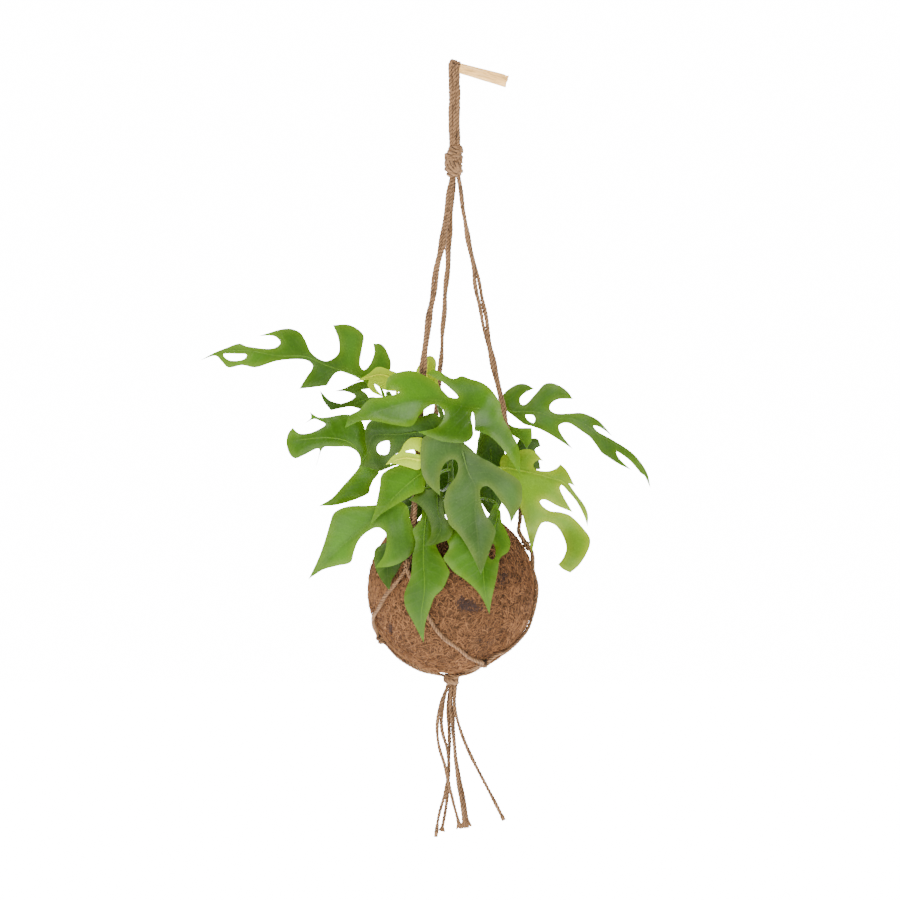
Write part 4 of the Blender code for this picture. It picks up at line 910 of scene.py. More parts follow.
# Each leaf: blade base, midrib and outline in the upright plane from that base (a third
# number marks a sharp point), depth of the midrib at each of its points, how far the upper
# and lower sides lean back (+) or forward (-), holes, and where its stalk leaves a stem.
LEAVES = {
    "leaf_long_left": dict(
        base=(-122.4, 0, -268.7), stem=("stem_left", 0.97), via=[(-116, 1, -272)],
        rib=[(0, 0), (-11, 3), (-42, 13.5), (-56, 20), (-67, 21.5), (-85, 21.5), (-110, 26),
             (-135, 25.5), (-153, 18)],
        depth=(0, -2, -9, -13, -16, -19, -21, -18, -12), lean=(0.35, -0.15), colour="green",
        edge=[(0, -4), (13, 2), (17, 13), (15.5, 21), (9, 32), (1, 33, 1), (2, 25), (-2, 14),
              (-7.5, 9), (-11, 14), (-9, 29), (-8, 41), (-20, 49.5), (-35, 49.5, 1), (-30, 36),
              (-30.5, 23.5), (-41.5, 17), (-54, 24), (-60, 36), (-65, 43), (-77, 46),
              (-101, 39.5, 1), (-87, 39), (-82, 33), (-89, 28), (-112, 30), (-118.5, 32.5),
              (-132, 28), (-142, 24), (-153, 18, 1), (-140, 21.5), (-134, 16), (-128.5, 11),
              (-116, 13), (-104, 11), (-84, 17), (-60, 18), (-53, 12.5), (-59, 2), (-65, -8, 1),
              (-40.5, -5, 1), (-33, 6), (-26, 7.5), (-13, 2)],
        holes=[[(-133, 23), (-121, 23.2), (-112, 22.5), (-114, 18.5), (-125, 17), (-131, 19.5)]]),
    "leaf_folded_young": dict(
        base=(-97.2, -14, -271.3), stem=("stem_left", 0.9), via=[(-100, -8, -280)],
        rib=[(0, 0), (-15, 7), (-28, 5), (-40, 1)], depth=(0, -3, -5, -5), lean=(0.3, 0.1),
        colour="young",
        edge=[(2, -6), (1, 6), (-11, 12), (-20, 14), (-28, 8), (-40, 1, 1), (-27.5, 2.5),
              (-29, -2), (-25, -8), (-14, -13, 1), (-21, -6), (-23, -1), (-18, -4), (-11, -7)]),
    "leaf_small_back_left": dict(
        base=(-120.6, 11, -284.9), stem=("stem_left", 0.84), via=[(-108, 9, -293)],
        rib=[(0, 0), (-10, -2), (-22, -6), (-36, -6)], depth=(0, 1, 0, -2), lean=(0.3, 0.0),
        colour="deep",
        edge=[(-2, -11), (-4, -2), (-7, 4), (-12, 7.5, 1), (-3, 9, 1), (-2, 15), (-13, 15),
              (-20, 12.5), (-27, 9), (-35, 6.5, 1), (-25, 6), (-17, 2), (-21.5, -2),
              (-30, -5, 1), (-40, -2), (-49, 7, 1), (-46, -2), (-39, -11, 1), (-30, -9),
              (-21, -7.5), (-12, -10)]),
    "leaf_broad_top": dict(
        base=(-23.4, -35, -295.7), stem=("stem_right", 0.9), via=[(-21.5, -10, -305)],
        rib=[(0, 0), (-10, 1.5), (-24, 4.5), (-38, 8), (-56, 8), (-74, 4), (-92, -2),
             (-105, -8), (-122, -16)],
        depth=(0, -4, -11, -18, -25, -29, -31, -31, -29), lean=(0.33, -1.25), colour="green",
        edge=[(17, -1.5), (16, 5), (12.5, 12), (6, 20), (-2, 25), (-11, 27.5),
              (-18.5, 30), (-26, 27.5), (-37, 33), (-43, 35.5), (-49.5, 32.5, 1), (-38, 26),
              (-31, 21), (-21.5, 11), (-29, 11), (-35, 16.5), (-40.5, 22.5), (-49.5, 29),
              (-63, 34.5), (-76.5, 32.5), (-84, 28), (-86, 17, 1), (-79, 18.5), (-74, 15),
              (-83, 12), (-100, 9), (-110, -1), (-118, -5.5), (-122, -16, 1), (-111, -11),
              (-97, -10), (-79, -13.5), (-63, -14.5), (-56, -5.5), (-49.5, 1.5), (-41.5, 4.5),
              (-34.5, -1), (-35, -9), (-41.5, -16.5), (-57, -20, 1), (-38, -27.5), (-24, -29.5),
              (-14.5, -29), (-8.7, -24), (-8.6, -16), (-10, -8), (-8.6, -1.8), (-7.0, -8),
              (-7, -19, 1), (-1.5, -20), (7, -24), (16, -32.5), (23, -42), (33, -57, 1),
              (32.5, -35.5), (25, -19.5), (19, -8.5)]),
    "leaf_large_front": dict(
        base=(-41.4, -60, -332.6), stem=("stem_middle", 0.5), via=[(-45, -30, -332)],
        rib=[(0, 0), (5, -18), (11, -29.5), (12.3, -39), (11.5, -56), (13.5, -75), (16.5, -109)],
        depth=(0, -6, -10, -13, -19, -26, -35), lean=(0.1, -0.32), colour="blue",
        edge=[(-34, 12.5), (-20, 16), (-6, 12.5), (5, 4.5), (15.5, -5), (25, -10), (36, -17),
              (47, -23.5), (52, -29), (53, -37), (52, -46), (43, -63.5, 1), (41, -55), (36, -47),
              (29, -37), (22.5, -31), (17, -32.5), (15.7, -38), (17.5, -47.5), (21.5, -57.5),
              (27, -65), (29.5, -71), (24.5, -87), (16.5, -109, 1), (11.5, -97.5), (2.5, -81),
              (-4, -72), (-11, -65), (-14.5, -56.5), (-16.5, -45, 1), (-13.5, -34),
              (-9.5, -28), (-5.5, -22.5), (-3.5, -16), (-4.5, -9.5), (-8.5, -7), (-14.5, -10),
              (-18.5, -17), (-20, -26), (-19.5, -39.5, 1), (-27.5, -32.5), (-32.5, -26.5),
              (-36, -18), (-37, -7), (-36.5, 4.5)]),
    "leaf_right_small": dict(
        base=(-2.7, 8, -308.2), stem=("stem_right", 0.78), via=[(-12, 10, -313)],
        rib=[(0, 0), (10, -6), (19.5, -22)], depth=(0, -2, -6), lean=(0.1, 0.1),
        colour="light",
        edge=[(-2, 2, 1), (10, -3), (24, -3.5, 1), (24, -14.5), (19.5, -22, 1), (14.5, -15),
              (7.5, -10.5), (1, -5)]),
    "leaf_long_right": dict(
        base=(3.6, 9, -297.2), stem=("stem_right", 0.985),
        via=[(-11, 11, -294.5), (-3, 10, -293.5)],
        rib=[(0, 0), (22, -0.5), (38.5, -5.5), (54, -6.5), (68, -13), (78, -21), (97, -31.5),
             (111, -42), (124, -68)],
        depth=(0, -2, -6, -10, -15, -19, -23, -25, -24), lean=(0.35, -0.2), colour="green",
        edge=[(-1, -2), (-6, 2), (-10, 9), (-7.5, 16), (-2, 21), (5.5, 25), (12.5, 25),
              (20, 21, 1), (12.5, 17.5), (7.5, 12.5), (8, 7), (12, 6.5), (22, 17), (29.5, 25),
              (36, 26), (44, 23), (50.5, 18), (55, 11.5, 1), (43, 11.5), (36, 8), (34, 2.5),
              (39.5, -1.5), (52, -1.5), (62, -1), (71, -4), (79, -9), (90, -22, 1), (79, -14),
              (73, -12.5), (76.5, -17.5), (88, -24), (106, -35.5), (115, -45), (121.5, -56),
              (124, -68, 1), (120, -59), (115, -55, 1), (106, -44.5), (97, -37.5), (93.5, -36),
              (95.5, -41.5), (107, -52.5, 1), (95.5, -47), (85.5, -40.5), (80, -36.5),
              (75.5, -30), (70, -23), (61, -16.5), (53, -11), (47, -10), (42, -13), (45, -21),
              (54.5, -33.5, 1), (37, -22), (27, -16.5), (19, -13.3), (11.5, -11.3), (5.5, -7)],
        holes=[[(12, -3), (19, -3), (21, -6.5), (19.5, -10), (14.5, -7.5)]]),
    "leaf_bright_right": dict(
        base=(-2.7, -20, -347.9), stem=("stem_right", 0.45),
        via=[(-35, -2, -348), (-30, -15, -348), (-14, -20, -348)],
        rib=[(0, 0), (12.5, -2), (29.5, -5.5), (40.5, -9), (52, -12.5), (62, -25), (71, -38),
             (74, -52)],
        depth=(0, -2, -2, 0, 2, 6, 9, 12), lean=(0.25, -0.12), colour="bright",
        edge=[(-4.5, 2), (-3.5, 9), (1, 13), (13.5, 16), (20, 17), (26, 15), (34, 6.5, 1),
              (29, 7), (25, 3.5), (26.5, -0.5), (32.5, -2.5), (39.5, -2.5), (46, 0),
              (49.5, 3.5, 1), (55, -2), (62.5, -16, 1), (57, -13.5, 1), (62, -21), (71, -33),
              (74.5, -42), (74, -52, 1), (70.5, -42), (64, -30), (56.5, -21), (50.5, -15),
              (49, -18), (52, -25), (60.5, -39.5, 1), (47, -34), (35, -28), (31, -29.5),
              (33.5, -34), (40.5, -38.5), (49.5, -39.5), (59, -43), (71, -55), (76.5, -64),
              (74.5, -74), (66.5, -87), (58.5, -94, 1), (51.5, -90.5), (47.5, -86.5, 1),
              (52, -81), (55, -72), (52, -61), (46, -52), (38.5, -48.5), (32.5, -49.5),
              (28, -59.5), (24, -76.5, 1), (21, -63), (18, -51.5), (14.5, -38.5), (11, -29),
              (3, -11)]),
    "leaf_rolled_new": dict(
        base=(-78.3, -60, -340.7), stem=("stem_middle", 0.56),
        via=[(-64, -32, -338), (-71, -52, -340)],
        rib=[(0, 0), (-15, 2), (-31, -4)], depth=(0, -1, 0), lean=(0.2, 0.0), colour="young",
        edge=[(0, -7), (-3.5, -8.5), (-10, -6.5), (-24.5, -3), (-31, -4, 1), (-25, 3), (-18, 8),
              (-14.5, 14.5), (-9, 19.5), (2, 19), (3, 9)],
        holes=[[(-13.5, 7.6), (-7, 9.4), (-0.5, 7.2), (0, 4.6), (-7, 6.4)]]),
    "leaf_front_left": dict(
        base=(-76.3, -57, -351.5), stem=("stem_middle", 0.42),
        via=[(-64, -32, -353), (-71, -50, -352)],
        rib=[(0, 0), (-15, -12), (-30, -27), (-46, -47)],
        depth=(0, -6, -9, -9), lean=(0.15, -0.25),
        colour="green",
        edge=[(1, -16), (-8.5, -20), (-25, -29.5), (-38, -38), (-47, -47, 1), (-42.5, -33.5),
              (-38.5, -14.5), (-36, -1.5), (-21, 6.5), (-10, 7), (0, 5.5)]),
    "leaf_two_lobes_left": dict(
        base=(-103.5, -60, -379.4), stem=("stem_left", 0.3), via=[(-94, -22, -366)],
        rib=[(0, 0), (-14, -11), (-32, -27), (-50, -42), (-74.5, -67)],
        depth=(0, -2, -1, 2, 8), lean=(-0.1, -0.35), colour="green",
        edge=[(-3, 3.5), (-15, -1), (-37, -2), (-45, -4), (-52, -8.5), (-55, -16.5),
              (-59.5, -31.5), (-65, -47), (-74.5, -67, 1), (-68.5, -63), (-61, -58.5),
              (-48.5, -55), (-37, -52), (-34, -43), (-30.5, -34), (-23.5, -26), (-13, -21),
              (-5.5, -26), (-5, -36.5), (-8, -47), (-15, -56.5, 1), (-2.5, -55.5), (7.5, -52),
              (15.5, -46), (20.5, -38), (21.5, -31.5), (18.5, -22.5), (15.5, -13), (13.5, -2.5),
              (5, 3)]),
    "leaf_dark_low_left": dict(
        base=(-101.7, -58, -417.2), stem=("stem_left", 0.18),
        via=[(-90, -24, -384), (-100, -50, -404)],
        rib=[(0, 0), (-6, -18), (-4.5, -39)], depth=(0, 0, -3), lean=(0.1, 0.1), colour="deep",
        edge=[(-7, 3), (-16.5, -2), (-18, -11), (-16.5, -19.5), (-12.5, -28), (-4.5, -39, 1),
              (-2, -29.5), (2.5, -22.5), (7, -13.5), (8, -3), (2, 3)]),
    "leaf_low_middle": dict(
        base=(-71.7, -59, -381.7), stem=("stem_middle", 0.26),
        via=[(-62, -32, -379), (-68, -51, -377)],
        rib=[(0, 0), (-3, -22), (-4, -47), (-3, -72), (-6, -97), (-4, -120)],
        depth=(0, -12, -19, -22, -20, -15), lean=(0.1, 0.1), colour="green",
        edge=[(-5.5, -7), (-9, -15), (-13.5, -21), (-11, -32), (-13.5, -43), (-15, -61.5),
              (-19.5, -73.5), (-21, -80.5), (-19.5, -89.5), (-13.5, -101), (-4, -120, 1),
              (-2.5, -104), (1.5, -91), (6, -79.5), (13, -72.5), (17.5, -63), (19, -58),
              (15, -49.5), (9.5, -40), (6, -31), (5, -21), (5, -9), (4, 1), (0, 6.5), (-4, 2)]),
    "leaf_curled_middle": dict(
        base=(-63, -60, -369.5), stem=("stem_middle", 0.32), via=[(-58, -32, -368)],
        rib=[(0, 0), (0, -15), (3, -30), (-3, -43), (-12, -47)], depth=(0, -9, -17, -22, -23),
        lean=(0.0, 0.0), colour="light",
        edge=[(-12.5, 2), (-26, -6.5, 1), (-18.5, -9.5), (-11, -17.5), (-6.5, -28), (-6, -37),
              (-12, -47, 1), (-3.5, -46), (2.5, -44), (10, -40.5), (13.5, -32.5), (9, -26),
              (5.5, -17), (4.5, -7), (3.5, 1)]),
    "leaf_low_right": dict(
        base=(-9.9, -57, -381.2), stem=("stem_right", 0.2),
        via=[(-33, -10, -376), (-22, -34, -375)],
        rib=[(0, 0), (-3, -20), (-12, -45), (-12, -70), (-7.5, -95)],
        depth=(0, -13, -22, -27, -25), lean=(0.1, 0.1), colour="green",
        edge=[(-2.5, 1.5), (-8, -9), (-17, -17), (-31.5, -20), (-40.5, -21.5), (-45, -29),
              (-43, -37), (-48, -46), (-44, -52), (-39, -58), (-28.5, -65.5), (-20, -73),
              (-13.5, -82), (-7.5, -95, 1), (-5.5, -82), (-2.5, -68.5), (0, -56.5), (2, -46),
              (9, -40.5), (11, -32.5), (7, -21.5), (3.5, -14.5), (2.5, -5)],
        holes=[[(-4.5, -33), (-2, -38), (-2.5, -46), (-6, -47.5), (-8.5, -42)]]),
    "leaf_broad_left": dict(
        base=(-118.8, -30, -349.7), stem=("stem_left", 0.42), via=[(-98, -14, -344)],
        rib=[(0, 0), (-10, 10), (-23, 25), (-45, 29), (-77, 26)], depth=(0, -2, -7, -10, -6),
        lean=(0.3, -0.15), colour="green",
        edge=[(3, -2.5), (-2, -9), (-5, -16), (-6, -20.5), (-19, -26.5), (-35, -31),
              (-50.5, -32, 1), (-38.5, -24.5), (-29.5, -14.5), (-20.5, -4.5), (-15, 2.5),
              (-13.5, 9), (-16, 16), (-23.5, 20.5), (-36, 21), (-46.5, 20), (-53, 3, 1),
              (-50.2, 19.2), (-64, 13.5),
              (-71.5, 10.5), (-76.5, 14.5), (-79.5, 24.5), (-78, 32.5), (-74, 38, 1),
              (-68.5, 33), (-59.5, 33), (-49.5, 37), (-44.5, 41), (-49.5, 44), (-55, 45.8),
              (-62.5, 42.2, 1), (-57.5, 47), (-58.6, 52, 1), (-51, 47.3), (-41.5, 47.5),
              (-31, 49.5), (-23, 49.5), (-14, 46), (-9.5, 37), (-8.5, 27), (-6, 17), (-3, 8),
              (2, 2.5)]),
    "leaf_holed_left": dict(
        base=(-80.5, -57, -315.5), stem=("stem_left", 0.62),
        via=[(-90, -24, -321), (-87, -48, -318)],
        rib=[(0, 0), (-18, -2), (-30, -2.5), (-41, -4), (-46, -19), (-53, -31)],
        depth=(0, 5, 9, 13, 12, 10), lean=(0.1, 0.1), colour="deep",
        edge=[(-10, 9.5), (-25, 10.5), (-38, 12), (-45, 7.5), (-47.5, 0), (-47, -9.5),
              (-45.5, -21.5), (-52, -30.5, 1), (-43, -32), (-35, -34), (-27, -31.5),
              (-20.5, -20.5), (-13, -16), (-6, -9.5), (3.5, -7), (12, -4.5), (20, 0),
              (23.5, 6), (20, 12), (14, 17), (7, 15)],
        holes=[[(-26, -8), (-31, -8.5), (-35.5, -11), (-37, -15.5), (-35, -19.5), (-28, -20),
                (-25.5, -15)]]),
    "leaf_new_shoot": dict(
        base=(-72.9, -15, -266.9), stem=("stem_middle", 0.97), via=[(-70, -9, -271)],
        rib=[(0, 0), (0, 8), (3, 20)], depth=(0, -1, -1), lean=(0.1, 0.1), colour="young",
        edge=[(-1, -5), (-5.5, 0), (-10, 4.5), (-7, 11.5), (-2, 18), (3, 20), (6.5, 18),
              (8.5, 13.5), (8, 7), (10.5, -7, 1), (3.5, -3)]),
    "leaf_dark_inner_right": dict(
        base=(-16, -3, -330), stem=("stem_right", 0.58), via=[(-21, 2, -331)],
        rib=[(0, 0), (1, -20), (0, -42), (4, -62)], depth=(0, -2, -3, -3), lean=(0.1, 0.1),
        colour="deep",
        edge=[(-6, 13), (-9, 4), (-12, -8), (-13, -24), (-10, -44), (-2, -58), (4, -62, 1),
              (10, -50), (13, -34), (14, -18), (13, -4), (8, 6), (0, 12)]),
    "leaf_back": dict(
        base=(-52, 22, -330), stem=("stem_middle", 0.48), via=[(-54, 8, -332)],
        rib=[(0, 0), (-1, -18), (-3, -40), (-6, -62)], depth=(0, 12, 20, 20), lean=(0.2, 0.2),
        colour="green",
        edge=[(0, 5), (-10, 6), (-19, -2), (-21, -14), (-16, -20), (-22, -28, 1), (-18, -36),
              (-13, -38), (-17, -48, 1), (-12, -56), (-6, -62, 1), (1, -54), (8, -42),
              (12, -36, 1), (8, -30), (14, -22), (17, -12), (11, 0)]),
    "leaf_back_left": dict(
        base=(-83, 21, -354), stem=("stem_left", 0.4), via=[(-82, 13, -353)],
        rib=[(0, 0), (-2, -14), (-2, -28), (0, -42)], depth=(0, 10, 20, 25), lean=(0.2, 0.2),
        colour="green",
        edge=[(2, 4), (-8, 5), (-16, -2), (-20, -10, 1), (-17, -17), (-12, -19), (-18, -28, 1),
              (-13, -34), (0, -43, 1), (8, -32), (12, -25, 1), (7, -20), (11, -12), (9, -2)]),
    "leaf_back_right": dict(
        base=(16, 31, -322), stem=("stem_right", 0.9), via=[(-14, 22, -306), (4, 30, -312)],
        rib=[(0, 0), (2, -13), (3, -27), (0, -44)], depth=(0, 5, 8, 8), lean=(0.1, 0.1),
        colour="deep",
        edge=[(-3, 3), (4, 1), (11, 0.5), (14, -6, 1), (9, -9), (12, -17), (14, -27, 1), (8, -28),
              (7, -37), (0, -46, 1), (-4, -36), (-9, -32, 1), (-7, -24), (-10, -14), (-8, -5)])}


def smooth_edge(points, spacing):
    """Points along a closed line that bends smoothly except at its marked sharp points."""
    flat = [Vector((point[0], point[1])) for point in points]
    sharp = [len(point) > 2 for point in points]
    count = len(flat)
    first = sharp.index(True) if True in sharp else 0
    flat = flat[first:] + flat[:first] + [flat[first]]
    sharp = sharp[first:] + sharp[:first] + [sharp[first]]
    made = []
    for index in range(count):
        b, c = flat[index], flat[index + 1]
        a = b * 2 - c if sharp[index] else flat[(index - 1) % count]
        d = c * 2 - b if sharp[index + 1] else flat[(index + 2) % count]
        reach = (c - b).length
        steps = max(1, round(reach / spacing))
        # tangents scaled to each chord keep short and long neighbours from overshooting
        out = (c - a) * (reach / max((c - b).length + (b - a).length, 1e-6))
        into = (d - b) * (reach / max((c - b).length + (d - c).length, 1e-6))
        for step in range(steps):
            t = step / steps
            made.append((2 * t ** 3 - 3 * t ** 2 + 1) * b + (t ** 3 - 2 * t ** 2 + t) * out
                        + (3 * t ** 2 - 2 * t ** 3) * c + (t ** 3 - t ** 2) * into)
    return np.array([tuple(point) for point in made])


def within(points, loop, *holes):
    """Which flat points lie inside a closed loop and in none of its holes."""
    found = np.zeros(len(points), dtype=bool)
    x, y = points[:, 0], points[:, 1]
    for p, q in zip(loop, np.roll(loop, -1, axis=0)):
        crosses = (p[1] > y) != (q[1] > y)
        if p[1] != q[1]:
            found ^= crosses & (x < (q[0] - p[0]) * (y - p[1]) / (q[1] - p[1]) + p[0])
    for hole in holes:
        found &= ~within(points, hole)
    return found


def nearest_on(line, points):
    """Distance, place along and foot of the nearest point of a line, for many points."""
    start, step = line[:-1], np.diff(line, axis=0)
    reach = (step ** 2).sum(axis=1)
    gap = points[:, None, :] - start[None]
    t = np.clip((gap * step[None]).sum(axis=2) / np.maximum(reach, 1e-9), 0.0, 1.0)
    foot = start[None] + step[None] * t[:, :, None]
    away = np.linalg.norm(points[:, None, :] - foot, axis=2)
    best = away.argmin(axis=1)
    rows = np.arange(len(points))
    return away[rows, best], best + t[rows, best], foot[rows, best]


def clearance(points, rims):
    """Distance of many points to the nearest of the rim's points."""
    return np.sqrt(((points[:, None, :] - rims[None]) ** 2).sum(axis=2)).min(axis=1)


def rounded_rib(leaf):
    """The midrib's line in the blade's plane."""
    ends = [Vector(p) for p in leaf["rib"]]
    ends = [ends[0] * 2 - ends[1]] + ends + [ends[-1] * 2 - ends[-2]]
    rib = []
    for index in range(len(ends) - 3):
        rib += [bend(*ends[index:index + 4], step / RIB_PARTS) for step in range(RIB_PARTS)]
    rib.append(ends[-2])
    return np.array([tuple(point) for point in rib])


def blade_depth(leaf, rib, points):
    """How far forward or back the blade lies, and the place along and away from its rib."""
    away, place, foot = nearest_on(rib, points)
    spot = place / RIB_PARTS
    depths = np.array(leaf["depth"], float)
    depth = np.interp(spot, np.arange(len(depths)), depths)
    upper = np.clip((points[:, 1] - foot[:, 1]) / np.maximum(away, 1e-6), -1.0, 1.0)
    across = np.maximum(0.0, np.sqrt(away ** 2 + 2.0) - 1.5)
    across = across / (1.0 + across / 60.0)
    slope = leaf["lean"][0] * (1 + upper) / 2 + leaf["lean"][1] * (1 - upper) / 2
    along = np.interp(place, np.arange(len(rib)), reaches(rib))
    return depth + slope * across, along, away


def side_of(rib, points):
    """Which side of the rib each point is on, as 1 or -1."""
    _, place, foot = nearest_on(rib, points)
    index = np.minimum(place.astype(int), len(rib) - 2)
    step = rib[index + 1] - rib[index]
    gap = points - foot
    return np.where(step[:, 0] * gap[:, 1] - step[:, 1] * gap[:, 0] >= 0, 1.0, -1.0)


def settle(depth, faces, rounds):
    """Depths smoothed over a mesh's neighbours."""
    pairs = set()
    for face in faces:
        for a, b in zip(face, face[1:] + face[:1]):
            pairs.add((min(a, b), max(a, b)))
    pairs = np.array(sorted(pairs))
    for _ in range(rounds):
        total = np.zeros(len(depth))
        count = np.zeros(len(depth))
        for a, b in ((0, 1), (1, 0)):
            np.add.at(total, pairs[:, a], depth[pairs[:, b]])
            np.add.at(count, pairs[:, a], 1)
        depth = np.where(count > 0, 0.5 * depth + 0.5 * total / np.maximum(count, 1), depth)
    return depth


def leaf_blade(leaf, seed):
    """A blade's middle surface with its ribs and waves, and its values on every point."""
    grid = GRID_SPACING
    loops = [smooth_edge(edge, EDGE_SPACING) for edge in (leaf["edge"], *leaf.get("holes", ()))]
    rib = rounded_rib(leaf)
    rims = np.concatenate(loops)
    edges, start = [], 0
    for loop in loops:
        edges += [(start + i, start + (i + 1) % len(loop)) for i in range(len(loop))]
        start += len(loop)
    low, high = loops[0].min(axis=0), loops[0].max(axis=0)
    spots = [rib[1:-1]]
    row = 0
    y = low[1]
    while y < high[1]:
        x = np.arange(low[0] + (grid / 2 if row % 2 else 0.0), high[0], grid)
        line = np.stack([x, np.full(len(x), y)], axis=1)
        if len(line):
            spots.append(line[clearance(line, rib) > grid * RIM_SHARE])
        y += grid * 0.87
        row += 1
    inner = np.concatenate(spots)
    inner = inner[within(inner, *loops) & (clearance(inner, rims) > grid * RIM_SHARE)]
    verts = [Vector(point) for point in np.concatenate([rims, inner])]
    flat, _, faces, _, _, _ = delaunay_2d_cdt(verts, edges, [], 1, 0.0001)
    flat = np.array([tuple(point) for point in flat])
    faces = [list(face) for face in faces]
    middles = np.array([flat[face].mean(axis=0) for face in faces])
    faces = [face for face, kept in zip(faces, within(middles, *loops)) if kept]
    depth, along, away = blade_depth(leaf, rib, flat)
    depth = settle(depth, faces, 8)
    rim = clearance(flat, rims)
    side = side_of(rib, flat)
    # a groove along the rib, gentle swells between side veins and a slow wave at the edge
    swell = np.cos(2 * math.pi * (along - away * VEIN_SLANT) / VEIN_GAP)
    reach = np.clip((away - 2.0) / 7.0, 0.0, 1.0)
    depth += 0.50 * np.exp(-(away / 1.5) ** 2) - 0.20 * swell * reach
    wave = np.array([noise.noise(Vector((p[0] / 24.0, p[1] / 24.0, seed * 3.7)))
                     for p in flat])
    depth += 2.6 * wave * np.clip(away / 16.0, 0.0, 1.0)
    depth += 0.9 * np.clip(1.0 - rim / 4.0, 0.0, 1.0) * np.clip(away / 10.0, 0.0, 1.0)
    base = leaf["base"]
    solid = np.stack([base[0] + flat[:, 0], base[1] + depth, base[2] + flat[:, 1]], axis=1)
    return solid, faces, rib, (along, away * side, rim)


def stem_point(name, share):
    """A point on a stem's middle line and the stem's direction there."""
    route = smooth_route(STEMS[name], 4.0)
    place = share * (len(route) - 1)
    index = min(int(place), len(route) - 2)
    low, high = route[index:index + 2]
    return low.lerp(high, place - index), (high - low).normalized()


def stalk_route(leaf, rib):
    """From the stem to the blade and on under its rib to the tip."""
    spot, heading = stem_point(*leaf["stem"])
    base = Vector(leaf["base"])
    via = [Vector(point) for point in leaf["via"]]
    toward = via[0] - spot
    toward = (toward - heading * toward.dot(heading)).normalized()
    start = spot + toward * (STEM_RADIUS - 0.6)
    spots = rib[::RIB_PARTS][1:]
    depth, _, _ = blade_depth(leaf, rib, spots)
    under = [Vector((base.x + p[0], base.y + d + 0.75, base.z + p[1]))
             for p, d in zip(spots, depth)]
    route = [start, start + toward * 4.0] + via + [base + Vector((0, 0.7, 0))]
    free = sum((q - p).length for p, q in zip(route, route[1:]))
    return route + under, free


def make_leaf(name, leaf, thickness, paint, seed):
    """One leaf: blade, stalk and the rib under the blade as one piece."""
    verts, faces, rib, (along, across, rim) = leaf_blade(leaf, seed)
    blade = new_piece(name, verts * MM, faces, paint)
    give(blade, along=along, across=across, rim=rim, stalk=np.zeros(len(verts)))
    work = bmesh.new()
    work.from_mesh(blade.data)
    loose = [vert for vert in work.verts if not vert.link_faces]
    bmesh.ops.delete(work, geom=loose, context="VERTS")
    bmesh.ops.recalc_face_normals(work, faces=work.faces)
    work.to_mesh(blade.data)
    work.free()
    thick = blade.modifiers.new("Thickness", "SOLIDIFY")
    thick.thickness = thickness
    thick.offset = 0.0
    pick(blade)
    bpy.ops.object.modifier_apply(modifier=thick.name)
    route, free = stalk_route(leaf, rib)
    line = smooth_line(route, 3.0)
    reach = reaches(line)
    _, side, _ = carried(line)
    # the stalk thickens where it meets the stem and the blade, then thins to nothing
    radii = np.interp(reach, [0, 5, free * 0.5, free - 4, free, free + 8, reach[-1]],
                      [1.9, 1.35, 1.15, 1.45, 1.2, 0.8, 0.22])
    stalk = Threads()
    stalk.add(line[None], radii[None], side[None], 8, 0.5, reach[None])
    rod = new_piece(name + "_stalk", np.concatenate(stalk.verts) * MM, stalk.faces, paint)
    none = np.zeros(len(rod.data.vertices))
    give(rod, along=none, across=none + 60.0, rim=none + 30.0,
         stalk=np.repeat(np.where(reach < free, 1.0, 0.75), 8))
    pick(rod)
    blade.select_set(True)
    bpy.context.view_layer.objects.active = blade
    bpy.ops.object.join()
    blade.data.set_sharp_from_angle(angle=math.radians(60))
    return blade


# ---------------------------------------------------------------- operators

# the studio, in metres
FLOOR_SIZE = 14.0
FLOOR_DROP = 0.07
BACKDROP_HEIGHT = 9.0
BACKDROP_BEND = 2.5
VIEW_MIDDLE = Vector((-0.0522, 0.0, -0.33165))
VIEW_DISTANCE = 4.5
WHITE = (1.0, 1.0, 1.0)
# each lamp's name, place, size, power and colour
LAMPS = (("Key Softbox", (-1.5, -2.1, 1.6), 1.8, 104.0, (1.0, 0.985, 0.96)),
         ("Fill Softbox", (2.1, -2.3, 0.2), 2.6, 24.0, (0.97, 0.985, 1.0)),
         ("Top Softbox", (0.1, -0.3, 2.2), 1.8, 84.0, WHITE),
         ("Back Softbox", (0.8, 2.4, 0.9), 2.2, 40.0, WHITE))


